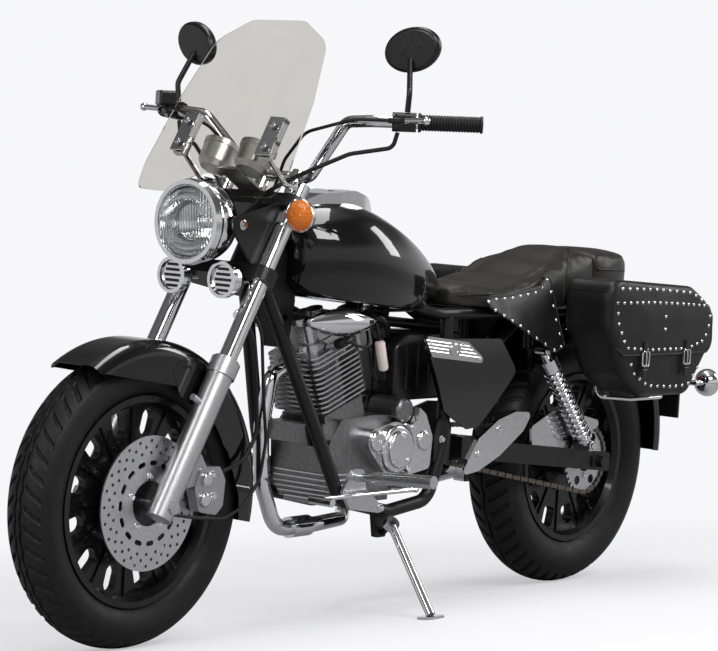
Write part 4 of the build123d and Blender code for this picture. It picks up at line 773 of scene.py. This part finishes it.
def make_bag(name, node, body, side, lid):
    # The shell below the lid's seat plane, or the lid above it with its flap down the outer face
    rows, outer = bag_rows(BAG_OUT + LID_GAP if lid else BAG_OUT)
    shape = Shape()
    shape.capped(rows)
    wide = len(BAG_RING)
    edit = bmesh.new()
    corners = [edit.verts.new(point) for point in shape.points]
    part = edit.faces.layers.int.new("outer")
    for index, face in enumerate(shape.faces):
        made = edit.faces.new([corners[i] for i in face])
        on_front = outer * wide <= index < (len(rows) - 1) * wide or index == len(shape.faces) - 1
        made[part] = 1 if on_front else 0
    for vertex in edit.verts:
        vertex.co.y += 1.6 * chance.noise(vertex.co * 0.018) * (1 if vertex.co.y > BAG_IN + 30 else 0)
    edit.normal_update()
    seat_z = HINGE_Z - LID_DEPTH + (0.5 if lid else -0.5)
    seat_up = Vector((-TOP_SLOPE, 0, 1)).normalized()
    cuts = [(Vector((0, 0, seat_z)), seat_up)]
    if lid:
        cuts += [
            (Vector((0, 0, FLAP_LOW)), Vector((0, 0, 1))),
            (Vector((-195, 0, FLAP_LOW)), Vector((0.7, 0, 1)).normalized()),
            (Vector((172, 0, FLAP_LOW)), Vector((-0.7, 0, 1)).normalized()),
        ]
    for at, up in cuts:
        everything = list(edit.verts) + list(edit.edges) + list(edit.faces)
        bmesh.ops.bisect_plane(edit, geom=everything, plane_co=at, plane_no=up)
    drop = []
    for face in edit.faces:
        middle = face.calc_center_median()
        above = (middle - cuts[0][0]).dot(seat_up) > 0
        if not lid:
            keep = not above
        else:
            keep = above or (face[part] and all((middle - at).dot(up) > 0 for at, up in cuts[1:]))
        if not keep:
            drop.append(face)
    bmesh.ops.delete(edit, geom=drop, context="FACES")
    bmesh.ops.recalc_face_normals(edit, faces=edit.faces)
    made = bpy.data.meshes.new(name)
    for vertex in edit.verts:
        vertex.co = BIKE @ Vector((vertex.co.x, side * vertex.co.y, vertex.co.z))
    if side < 0:
        bmesh.ops.reverse_faces(edit, faces=edit.faces)
    edit.to_mesh(made)
    edit.free()
    piece = bpy.data.objects.new(name, made)
    bpy.context.scene.collection.objects.link(piece)
    wall = piece.modifiers.new("wall", "SOLIDIFY")
    wall.thickness = BAG_T / 1000
    wall.offset = -1.0
    settle(piece)
    piece.data.materials.append(LEATHER)
    piece.data.shade_smooth()
    piece.data.set_sharp_from_angle(angle=math.radians(50))
    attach(piece, body)
    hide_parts(node)
    return piece


# Rows of studs in the side view: the lid's crest, the flap's border, and the bag's front below the flap
CREST = [(190, 739), (40, 736), (-110, 727), (-185, 700)]
FLAP_ROW = [(208, 706), (196, 650), (160, 600), (60, 594), (-100, 594), (-180, 612), (-203, 660), (-196, 694)]
FLAP_TOP = [(208, 706), (60, 706), (-90, 700), (-196, 694)]
BAG_ROW = [(130, 560), (110, 535), (52, 508), (-60, 502), (-125, 505), (-168, 545)]
STRAPS = (88.0, -92.0)
FLAP_EDGE = [(221, 690), (221, 619), (170, 583), (-193, 583), (-217, 600), (-216, 676)]


def make_buckle(leather_part, metal, tree, x, side):
    # A strap from the flap's edge down the bag's front, with a square buckle and its prong
    top, low = FLAP_LOW + 34, FLAP_LOW - 52
    path = []
    for z in resample([(top, 0), (low, 0)], 14):
        place, _ = from_side(tree, x, max(z.x, FLAP_LOW + 4), side)
        path.append(Vector((x, place.y, z.x)))
    out = Vector((0, side, 0))
    strap = [(-9, 0.4), (-9, 2.2), (-7, 3.2), (7, 3.2), (9, 2.2), (9, 0.4)]
    rows = []
    for point in path:
        rows.append([point + Vector((dx, side * dy, 0)) for dx, dy in strap])
    leather_part.capped(rows)
    middle = path[6] + out * 4.6
    ring = rounded([(-14, -17), (14, -17), (14, 17), (-14, 17)], 6)
    metal.tube([middle + Vector((p.x, 0, p.y)) for p in ring], 2.0, 8, loop=True)
    prong = [(0.6, 17), (2.4, 2), (1.0, -18)]
    metal.tube([middle + Vector((0, side * dy, dz)) for dy, dz in prong], 1.5)
    loop = path[10] + out * 2.4
    ring = rounded([(-11, -2.4), (11, -2.4), (11, 2.4), (-11, 2.4)], 2)
    leather_part.tube([loop + Vector((p.x, side * p.y, 0)) for p in ring], 2.0, 6, loop=True)


for word, side in (("left", 1), ("right", -1)):
    bag = make_bag("saddlebag_shell_" + word, "saddlebag_" + word, "chassis", side, False)
    lid = make_bag("bag_lid_shell_" + word, "bag_lid_" + word, "bag_lid_" + word, side, True)
    lid_tree = surface_of(lid)
    studs = Shape()
    stud_row(studs, lid_tree, rounded(CREST, 30, closed=False), 28, side)
    stud_row(studs, lid_tree, rounded(FLAP_ROW, 24, closed=False), 24, side)
    stud_row(studs, lid_tree, FLAP_TOP, 24, side)
    for z in (672, 642):
        place, normal = from_side(lid_tree, 6, z, side)
        add_stud(studs, place, normal)
    add_piece("lid_studs_" + word, studs, "bag_lid_" + word, CHROME)
    binding = Shape()
    border = resample(rounded(FLAP_EDGE, 16, closed=False), 150)
    binding.tube(traced(lid_tree, border, side, 0.3), 2.6)
    add_piece("flap_binding_" + word, binding, "bag_lid_" + word, PIPING)
    studs = Shape()
    stud_row(studs, surface_of(bag), rounded(BAG_ROW, 24, closed=False), 26, side)
    add_piece("bag_studs_" + word, studs, "chassis", CHROME)
    bands = Shape()
    buckles = Shape()
    for x in STRAPS:
        make_buckle(bands, buckles, lid_tree, x, side)
    add_piece("bag_straps_" + word, bands, "bag_lid_" + word, LEATHER)
    add_piece("bag_buckles_" + word, buckles, "bag_lid_" + word, CHROME)

# Grips with ribs and flanged ends
BAR_BEND = Vector((1118.0, 262.0, 1089.9))
BAR_OUT = Vector((-0.5897, 0.8074, 0.0181)).normalized()
GRIP_FROM = 93.0
GRIP_TO = 226.0


def make_grips():
    profile = [(0, 13.2), (0, 19.5), (3, 20.0), (6, 19.0), (7, 16.0)]
    ribs = 19
    pitch = (GRIP_TO - GRIP_FROM - 16) / ribs
    for k in range(ribs):
        low = 8 + k * pitch
        profile += [
            (low, 15.2), (low + 0.25 * pitch, 16.6), (low + 0.7 * pitch, 16.6), (low + 0.85 * pitch, 15.2),
        ]
    end = GRIP_TO - GRIP_FROM
    profile += [(end - 7, 15.6), (end - 5, 18.0), (end - 2, 18.0), (end, 16.0), (end + 0.5, 4.0)]
    shape = Shape()
    shape.turned(profile, BAR_BEND + BAR_OUT * GRIP_FROM, BAR_OUT, 28)
    shape.mirrored()
    piece = add_piece("ribbed_grips", shape, "steering", RUBBER, 30.0)
    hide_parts("grips")


make_grips()

# Chain of plates, rollers and pins round both sprockets
SPROCKET_R = 80.0
DRIVE = Vector((705.0, 0.0, 393.0))
DRIVE_R = 33.0
CHAIN_Y = 79.75
PITCH = 15.875
PIN = [(-6.9, 1.6), (-6.7, 2.4), (-3.4, 2.4), (-3.3, 4.4), (3.3, 4.4), (3.4, 2.4), (6.7, 2.4), (6.9, 1.6)]


def chain_path():
    # Close points of the pitch line: the upper run, round the drive, the lower run, round the wheel
    run = DRIVE - REAR_AXLE
    heading = math.atan2(run.z, run.x)
    lean = math.asin((SPROCKET_R - DRIVE_R) / math.hypot(run.x, run.z))
    upper = heading - lean + math.pi / 2
    lower = heading + lean - math.pi / 2
    points = []
    for k in range(25):
        angle = upper + (lower - upper) * k / 24
        points.append((DRIVE.x + DRIVE_R * math.cos(angle), DRIVE.z + DRIVE_R * math.sin(angle)))
    for k in range(49):
        angle = lower - (TURN - (upper - lower)) * k / 48
        points.append(
            (REAR_AXLE.x + SPROCKET_R * math.cos(angle), REAR_AXLE.z + SPROCKET_R * math.sin(angle)),
        )
    return points


def make_chain():
    path = chain_path()
    close = resample(path, 4000, closed=True)
    total = sum((b - a).length for a, b in zip(close, close[1:] + close[:1]))
    links = 2 * round(total / PITCH / 2)
    pins = resample(path, links, closed=True)
    shape = Shape()
    for k, pin in enumerate(pins):
        after = pins[(k + 1) % links]
        along = Vector((after.x - pin.x, 0, after.y - pin.y))
        gap = along.length
        along.normalize()
        over = along.cross(LEFT)
        start = Vector((pin.x, CHAIN_Y, pin.y))
        outline = []
        for turn in range(-4, 5):
            angle = turn * math.pi / 9
            outline.append((gap + 6.0 * math.cos(angle), 6.0 * math.sin(angle)))
        outline.append((gap / 2, 4.2))
        for turn in range(-4, 5):
            angle = math.pi + turn * math.pi / 9
            outline.append((6.0 * math.cos(angle), 6.0 * math.sin(angle)))
        outline.append((gap / 2, -4.2))
        low = 5.2 if k % 2 else 3.5
        for side in (1, -1):
            rows = []
            for y in (low, low + 1.5):
                rows.append([start + along * u + over * v + LEFT * side * y for u, v in outline])
            shape.capped(rows)
        shape.turned(PIN, start, LEFT, 10)
    piece = add_piece("roller_chain", shape, "chassis", CHAIN, 40.0)
    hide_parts("drive_chain")


make_chain()

# Headlight: bulb with its shield in the reflector
LAMP_BACK = Vector((1298.0, 0.0, 864.4))
bulb = Shape()
bulb.turned(
    [(0, 15), (5, 15), (7, 10), (30, 10), (31, 14), (44, 14), (48, 11), (50, 3)], LAMP_BACK, (1, 0, 0), 24,
)
add_piece("headlight_bulb", bulb, "steering", CHROME)

# Horns: dark strips between the bars of each face, painted shade standing in for the shaded gaps of the
# grille
HORN = Vector((1302.3, 70.0, 750.6))
slot_shade = Shape()
for step in (-2, -1, 0, 1, 2):
    half = (46 - 7 * abs(step)) / 2 - 0.4
    corners = [(-half, -2.7), (half, -2.7), (half, 2.7), (-half, 2.7)]
    rows = []
    for x in (31.4, 35.2):
        rows.append([HORN + Vector((x, y, z + 11 * step)) for y, z in corners])
    slot_shade.capped(rows)
slot_shade.mirrored()
add_piece("horn_slot_shade", slot_shade, "steering", DIAL)

# Gauges: dial faces with plain marks and a pointer, under glass
GAUGE_UP = Vector((-0.5, 0.0, 0.866)).normalized()
GAUGE_AHEAD = Vector((0.866, 0.0, 0.5)).normalized()
DIAL_R = 33.0
dials = Shape()
marks = Shape()
glass = Shape()
for side in (1, -1):
    eye = Vector((1225.6, side * 50.0, 1019.5)) + GAUGE_UP * 0.3
    left = GAUGE_UP.cross(GAUGE_AHEAD)
    dials.turned([(0, DIAL_R), (0.8, DIAL_R), (1.0, DIAL_R - 0.5), (1.0, 0.5)], eye, GAUGE_UP, 40)
    for k in range(41):
        angle = math.radians(-225 + 270 * k / 40)
        ray = left * math.sin(angle + math.pi / 2) - GAUGE_AHEAD * math.cos(angle + math.pi / 2)
        long = 6.0 if k % 5 == 0 else 3.0
        base = eye + GAUGE_UP * 1.0
        wide = GAUGE_UP.cross(ray) * (0.7 if k % 5 == 0 else 0.35)
        tip, root = base + ray * (DIAL_R - 2.5), base + ray * (DIAL_R - 2.5 - long)
        corners = [tip + wide, tip - wide, root - wide, root + wide]
        marks.capped([corners, [p + GAUGE_UP * 0.3 for p in corners]])
    hand = -GAUGE_AHEAD * 0.7 + left * 0.7
    wide = GAUGE_UP.cross(hand)
    base = eye + GAUGE_UP * 1.6
    corners = [
        base + wide * 1.4, base + hand * 24 + wide * 0.3, base + hand * 24 - wide * 0.3, base - wide * 1.4,
    ]
    marks.capped([corners, [p + GAUGE_UP * 0.6 for p in corners]])
    marks.turned([(0, 4), (1.6, 4), (2.2, 3)], eye + GAUGE_UP, GAUGE_UP, 16)
    glass.turned([(3.4, DIAL_R), (4.2, DIAL_R), (4.6, DIAL_R - 6), (4.8, 0.5)], eye, GAUGE_UP, 40)
add_piece("gauge_dials", dials, "steering", DIAL)
add_piece("gauge_marks", marks, "steering", TICK)
add_piece("gauge_glass", glass, "steering", DIAL_GLASS)

# Mirror glass on the rider's side of each head
MIRROR = Vector((1046.0, 300.0, 1240.9))
LOOK_BACK = Vector((-0.94, -0.2, 0.1)).normalized()
mirror_x = Vector((0, 1, 0.25))
mirror_x = (mirror_x - LOOK_BACK * mirror_x.dot(LOOK_BACK)).normalized()
mirror_y = LOOK_BACK.cross(mirror_x)
glass = Shape()
ellipse = [(55 * math.cos(TURN * k / 48), 37 * math.sin(TURN * k / 48)) for k in range(48)]
glass.slab(ellipse, MIRROR + LOOK_BACK * 10.8, mirror_x, mirror_y, 0.9, 0.4)
glass.mirrored()
add_piece("mirror_glass", glass, "steering", MIRROR_GLASS)


# Bolts and screws, by the body that carries them; their outlines are for a size of 1
WASHER = [(0, 1.3), (0.16, 1.3), (0.2, 1.2)]
HEAD = [(0, 1.0), (0.75, 1.0), (0.9, 0.84), (0.9, 0.3)]
SCREW = [(0, 1.0), (0.5, 1.0), (0.7, 0.85), (0.7, 0.5), (0.3, 0.45)]


def sized(profile, size):
    return [(distance * size, radius * size) for distance, radius in profile]


def add_bolt(shape, at, out, size):
    # A washer under a six-sided head
    shape.turned(sized(WASHER, size), at, out, 18)
    shape.turned(sized(HEAD, size), at, out, 6)


def add_bolt_pair(shape, at, size):
    # The same bolt on both sides of the bike
    x, y, z = at
    add_bolt(shape, (x, y, z), LEFT, size)
    add_bolt(shape, (x, -y, z), RIGHT, size)


def add_screw(shape, at, out, size):
    # A round head with a socket
    shape.turned(sized(SCREW, size), at, out, 14)


wheel_bolts = Shape()
for k in range(5):
    angle = TURN * k / 5 + 0.3
    add_bolt(wheel_bolts, FRONT_AXLE + Vector((54 * math.cos(angle), 64.25, 54 * math.sin(angle))), LEFT, 6.0)
add_piece("disc_bolts", wheel_bolts, "front_wheel", CHROME)
wheel_bolts = Shape()
for k in range(6):
    angle = TURN * (k + 0.5) / 6
    add_bolt(wheel_bolts, REAR_AXLE + Vector((40 * math.cos(angle), 82.25, 40 * math.sin(angle))), LEFT, 6.0)
add_piece("sprocket_bolts", wheel_bolts, "rear_wheel", CHROME)

COVER_BOLTS = [(748, 120, 330), (742, 120, 425), (793, 137, 409), (775, 137, 356), (856, 122, 398)]
PLAIN_BOLTS = [(506, 130, 352), (428, 130, 405), (850, 128.25, 254), (1018, 74, 415), (630, 118, 392)]
SHOCK_BOLTS = [(80, 154, 352), (286, 154, 586)]
chassis_bolts = Shape()
for at in COVER_BOLTS:
    add_screw(chassis_bolts, at, LEFT, 4.5)
for at in PLAIN_BOLTS:
    add_bolt_pair(chassis_bolts, at, 7.0)
for k in range(8):
    angle = TURN * (k + 0.5) / 8
    add_screw(chassis_bolts, (815 + 63 * math.cos(angle), -126, 366 + 63 * math.sin(angle)), RIGHT, 4.5)
for at in SHOCK_BOLTS:
    add_bolt_pair(chassis_bolts, at, 9.0)
add_piece("chassis_bolts", chassis_bolts, "chassis", CHROME)

SHEET_OUT = Vector((0.861, 0.0, 0.508)).normalized()
steer_bolts = Shape()
for side in (1, -1):
    for x, z in ((1266, 1071), (1292, 1027)):
        add_bolt(steer_bolts, Vector((x, side * 118, z)), SHEET_OUT, 6.0)
    add_bolt(steer_bolts, Vector((1314.4, side * 96, 864.4)), Vector((0, side, 0)), 8.0)
for x, z in ((-158, 8), (-152, 52)):
    add_bolt(steer_bolts, FRONT_AXLE + Vector((x, 94, z)), LEFT, 6.5)
add_piece("steering_bolts", steer_bolts, "steering", CHROME)

# Caliper: two piston caps on its outer face
pistons = Shape()
for x, z in ((-132, 2), (-136, 44)):
    cap = [(0, 15), (5, 15), (8, 13), (9, 10), (8.6, 6), (8.8, 0.5)]
    pistons.turned(cap, FRONT_AXLE + Vector((x, 93.6, z)), LEFT, 28)
add_piece("caliper_pistons", pistons, "steering", POLISHED)

# Raised ribs on each side trim, cut short round the boss
TRIM_Y = 147.0
TRIM_EYE = (640, 596)
ribs = Shape()
for k in range(5):
    start = Vector((746, 620)).lerp(Vector((724, 588)), k / 4)
    run = []
    for step in range(60):
        x, z = start + Vector((-0.994, -0.11)) * 4 * step
        inside = 560 + (x - 506) * 0.1028 + 6 < z < 560 + (x - 506) * 0.619 - 7
        clear = math.hypot(x - TRIM_EYE[0], z - TRIM_EYE[1]) > 20
        if inside and clear:
            run.append((x, TRIM_Y + 0.6, z))
        elif len(run) > 2:
            ribs.tube(run, 1.7)
            run = []
    if len(run) > 2:
        ribs.tube(run, 1.7)
ribs.mirrored()
add_piece("trim_ribs", ribs, "chassis", POLISHED)

# Plain round boss on each side trim
bosses = Shape()
bosses.turned(
    [(0, 15), (3, 15), (4.5, 12), (4.5, 9), (3.5, 8), (3.8, 0.5)],
    Vector((TRIM_EYE[0], TRIM_Y, TRIM_EYE[1])), LEFT, 28,
)
for x, z in ((728, 614), (612, 606), (540, 570), (702, 589)):
    add_screw(bosses, Vector((x, TRIM_Y, z)), LEFT, 4.0)
bosses.mirrored()
add_piece("trim_bosses", bosses, "chassis", ALLOY)

# Engine dressing: ribs round the front of the case, spark plug cap and lead, fuel filter and its hoses
case_tree = surface_of(NODES["engine_case"])
ribs = Shape()
for z in (266, 278, 290, 302, 314, 326):
    path = []
    for k in range(91):
        angle = math.radians(-110 + 220 * k / 90)
        ray = Vector((math.cos(angle), math.sin(angle), 0))
        place, _, _, _ = case_tree.ray_cast(Vector((900, 0, z)) + ray * 400, -ray)
        if place is not None:
            path.append(place)
    if len(path) > 8:
        ribs.tube(path, 2.6)
add_piece("case_ribs", ribs, "chassis", ALLOY)

PLUG_END = Vector((977.6, 93.8, 613.9))
PLUG_OUT = Vector((0.0, 0.94, 0.342))
cap = Shape()
cap.turned([(-10, 10.2), (-9, 11), (4, 11), (8, 9), (12, 5), (13, 2)], PLUG_END, PLUG_OUT, 20)
LEAD = [
    (977, 104, 617), (968, 113, 618), (945, 117, 610), (905, 108, 606), (876, 88, 625), (864, 62, 660),
    (862, 44, 692),
]


def smooth(points, count):
    # Close points on a smooth curve through a few
    made = []
    ends = [Vector(points[0])] + [Vector(p) for p in points] + [Vector(points[-1])]
    for i in range(1, len(ends) - 2):
        a, b, c, d = ends[i - 1:i + 3]
        for k in range(count):
            t = k / count
            square = (2 * a - 5 * b + 4 * c - d) * t ** 2
            cube = (3 * b - a - 3 * c + d) * t ** 3
            made.append(0.5 * (2 * b + (c - a) * t + square + cube))
    return made + [ends[-1]]


cap.tube(smooth(LEAD, 8), 3.5, 10)
add_piece("plug_cap_and_lead", cap, "chassis", RUBBER)

FILTER_TOP = Vector((812, 70, 612))
FILTER_LOW = Vector((792, 70, 548))
fuel = Shape()
fuel.turned(
    [(-6, 3.5), (0, 3.6), (1, 10), (4, 11.5), (62, 11.5), (66, 10), (67, 3.6), (73, 3.5)], FILTER_TOP,
    FILTER_LOW - FILTER_TOP, 24,
)
add_piece("fuel_filter", fuel, "chassis", FILTER)
hoses = Shape()
hoses.tube(smooth([(812.6, 70, 614), (818, 70, 632), (823, 60, 662), (822, 46, 694)], 8), 4.2, 10)
TO_CARBURETTOR = [
    (791.4, 70, 546), (788, 68, 528), (788, 52, 522), (794, 38, 545), (799, 33, 585), (800, 26, 600),
]
hoses.tube(smooth(TO_CARBURETTOR, 8), 4.2, 10)
add_piece("fuel_hoses", hoses, "chassis", RUBBER)

# Air box between the side covers, with its joint flange and the boot from the carburettor
AIR_BOX = [(738, 476), (742, 596), (704, 626), (500, 626), (474, 600), (490, 476)]
AIR_HALF = 62.0
box = Shape()
outline = rounded(AIR_BOX, 26)
middle = sum(outline, Vector((0, 0))) / len(outline)
# Sections across it: (y, how far the outline shrinks), with the flange by the middle
SECTIONS = [(-AIR_HALF, 8), (3 - AIR_HALF, 3), (8 - AIR_HALF, 0), (-8, 0), (-8, -4), (-2, -4), (-2, 0)]
SECTIONS += [(AIR_HALF - 8, 0), (AIR_HALF - 3, 3), (AIR_HALF, 8)]
rows = []
for y, shrink in SECTIONS:
    ring = [p + (middle - p).normalized() * shrink for p in outline]
    rows.append([(p.x, y, p.y) for p in ring])
box.capped(rows)
for k in range(5):
    x = 540 + 40 * k
    box.tube([(x, AIR_HALF - 0.6, 500), (x, AIR_HALF + 1, 550), (x, AIR_HALF - 0.6, 604)], 3.0)
box.tube(smooth([(772, 0, 652.2), (752, 0, 655), (728, 0, 644), (714, 0, 618)], 8), 21.0, 24)
add_piece("air_box", box, "chassis", PLASTIC)


# Camera at the photograph's place, in the upright bike's millimetres
CAMERA_AT = (5561.06, 3819.63, 1059.39)
CAMERA_YAW = 3.8177
CAMERA_PITCH = -0.0685
CAMERA_ROLL = 0.0553
FOCAL_PX = 2768.44
IMAGE_W = 718
SENSOR_MM = 36.0


def make_camera():
    look = Vector((
        math.cos(CAMERA_PITCH) * math.cos(CAMERA_YAW),
        math.cos(CAMERA_PITCH) * math.sin(CAMERA_YAW),
        math.sin(CAMERA_PITCH),
    ))
    level = look.cross(Vector((0, 0, 1))).normalized()
    above = level.cross(look)
    c, s = math.cos(CAMERA_ROLL), math.sin(CAMERA_ROLL)
    right = level * c + above * s
    up = above * c - level * s
    turn = BIKE.to_3x3().normalized() @ Matrix((right, up, -look)).transposed()
    data = bpy.data.cameras.new("camera")
    data.sensor_width = SENSOR_MM
    data.lens = SENSOR_MM * FOCAL_PX / IMAGE_W
    data.clip_end = 100.0
    camera = bpy.data.objects.new("camera", data)
    camera.matrix_world = Matrix.Translation(BIKE @ Vector(CAMERA_AT)) @ turn.to_4x4()
    bpy.context.scene.collection.objects.link(camera)
    bpy.context.scene.camera = camera


# Studio: a pale floor that keeps the shadow, a white surround and soft lamps


def add_lamp(name, at, aim, size, power):
    data = bpy.data.lights.new(name, "AREA")
    data.shape = "RECTANGLE"
    data.size, data.size_y = size
    data.energy = power
    lamp = bpy.data.objects.new(name, data)
    lamp.location = at
    lamp.rotation_euler = (Vector(aim) - Vector(at)).to_track_quat("-Z", "Y").to_euler()
    bpy.context.scene.collection.objects.link(lamp)


FLOOR_REACH = 5.0
FLOOR_FADE = (1.3, 3.2)
BACK_COLOR = (0.93, 0.93, 0.945, 1)
FLOOR_GLOW = 0.50


def make_floor():
    # Lit floor with a constant glow for the camera, fading out into the surround
    made = bpy.data.meshes.new("floor")
    r = FLOOR_REACH
    made.from_pydata([(-r, -r, 0), (r, -r, 0), (r, r, 0), (-r, r, 0)], [], [(0, 1, 2, 3)])
    floor = bpy.data.objects.new("floor", made)
    bpy.context.scene.collection.objects.link(floor)
    pale, tree, shader = new_material("pale_floor")
    shader.inputs["Base Color"].default_value = (0.35, 0.35, 0.355, 1)
    shader.inputs["Roughness"].default_value = 1.0
    shader.inputs["Specular IOR Level"].default_value = 0.0
    paths = tree.nodes.new("ShaderNodeLightPath")
    glow = tree.nodes.new("ShaderNodeMath")
    glow.operation = "MULTIPLY"
    glow.inputs[1].default_value = FLOOR_GLOW
    tree.links.new(paths.outputs["Is Camera Ray"], glow.inputs[0])
    shader.inputs["Emission Color"].default_value = BACK_COLOR
    tree.links.new(glow.outputs["Value"], shader.inputs["Emission Strength"])
    coordinates = tree.nodes.new("ShaderNodeTexCoord")
    distance = tree.nodes.new("ShaderNodeVectorMath")
    distance.operation = "LENGTH"
    tree.links.new(coordinates.outputs["Object"], distance.inputs[0])
    near, far = FLOOR_FADE
    fade = add_node(tree, "ShaderNodeMapRange", From_Min=near, From_Max=far, To_Min=1.0, To_Max=0.0)
    fade.interpolation_type = "SMOOTHSTEP"
    tree.links.new(distance.outputs["Value"], fade.inputs["Value"])
    tree.links.new(fade.outputs["Result"], shader.inputs["Alpha"])
    made.materials.append(pale)


def make_world():
    # White for the camera and through glass, bands for reflections, a lower even level to light the object
    world = bpy.data.worlds.new("surround")
    bpy.context.scene.world = world
    world.use_nodes = True
    tree = world.node_tree
    back = tree.nodes["Background"]
    paths = tree.nodes.new("ShaderNodeLightPath")
    seen = tree.nodes.new("ShaderNodeMath")
    seen.operation = "MAXIMUM"
    tree.links.new(paths.outputs["Is Camera Ray"], seen.inputs[0])
    tree.links.new(paths.outputs["Is Transmission Ray"], seen.inputs[1])
    level = add_node(tree, "ShaderNodeMapRange", To_Min=0.5, To_Max=1.0)
    tree.links.new(seen.outputs["Value"], level.inputs["Value"])
    # Reflections meet a level that rises from the ground to the side walls and falls overhead
    coordinates = tree.nodes.new("ShaderNodeTexCoord")
    split = tree.nodes.new("ShaderNodeSeparateXYZ")
    tree.links.new(coordinates.outputs["Generated"], split.inputs["Vector"])
    bands = tree.nodes.new("ShaderNodeValToRGB")
    bands.color_ramp.interpolation = "EASE"
    marks = [(0.0, 0.25), (0.44, 0.40), (0.50, 0.70), (0.58, 0.75), (0.68, 0.14), (0.84, 0.12), (1.0, 0.45)]
    while len(bands.color_ramp.elements) < len(marks):
        bands.color_ramp.elements.new(0.5)
    for element, (place, value) in zip(bands.color_ramp.elements, marks):
        element.position = place
        element.color = (value, value, value, 1)
    height = add_node(tree, "ShaderNodeMapRange", From_Min=-1.0, From_Max=1.0)
    tree.links.new(split.outputs["Z"], height.inputs["Value"])
    tree.links.new(height.outputs["Result"], bands.inputs["Fac"])
    choose = tree.nodes.new("ShaderNodeMix")
    choose.data_type = "FLOAT"
    tree.links.new(paths.outputs["Is Glossy Ray"], choose.inputs[0])
    tree.links.new(level.outputs["Result"], choose.inputs[2])
    tree.links.new(bands.outputs["Color"], choose.inputs[3])
    back.inputs["Color"].default_value = BACK_COLOR
    tree.links.new(choose.outputs[0], back.inputs["Strength"])


make_camera()
make_floor()
make_world()
add_lamp("key", (1.6, 3.4, 3.2), (0, 0, 0.5), (2.4, 1.2), 120)
add_lamp("front", (4.2, 0.2, 2.2), (0.2, 0, 0.6), (0.8, 2.6), 50)
add_lamp("back", (-3.6, 2.2, 2.4), (0, 0, 0.6), (1.0, 2.2), 60)
add_lamp("top", (-0.2, 0.2, 4.0), (0, 0, 0), (3.4, 0.9), 70)
bpy.context.scene.view_settings.view_transform = "Standard"
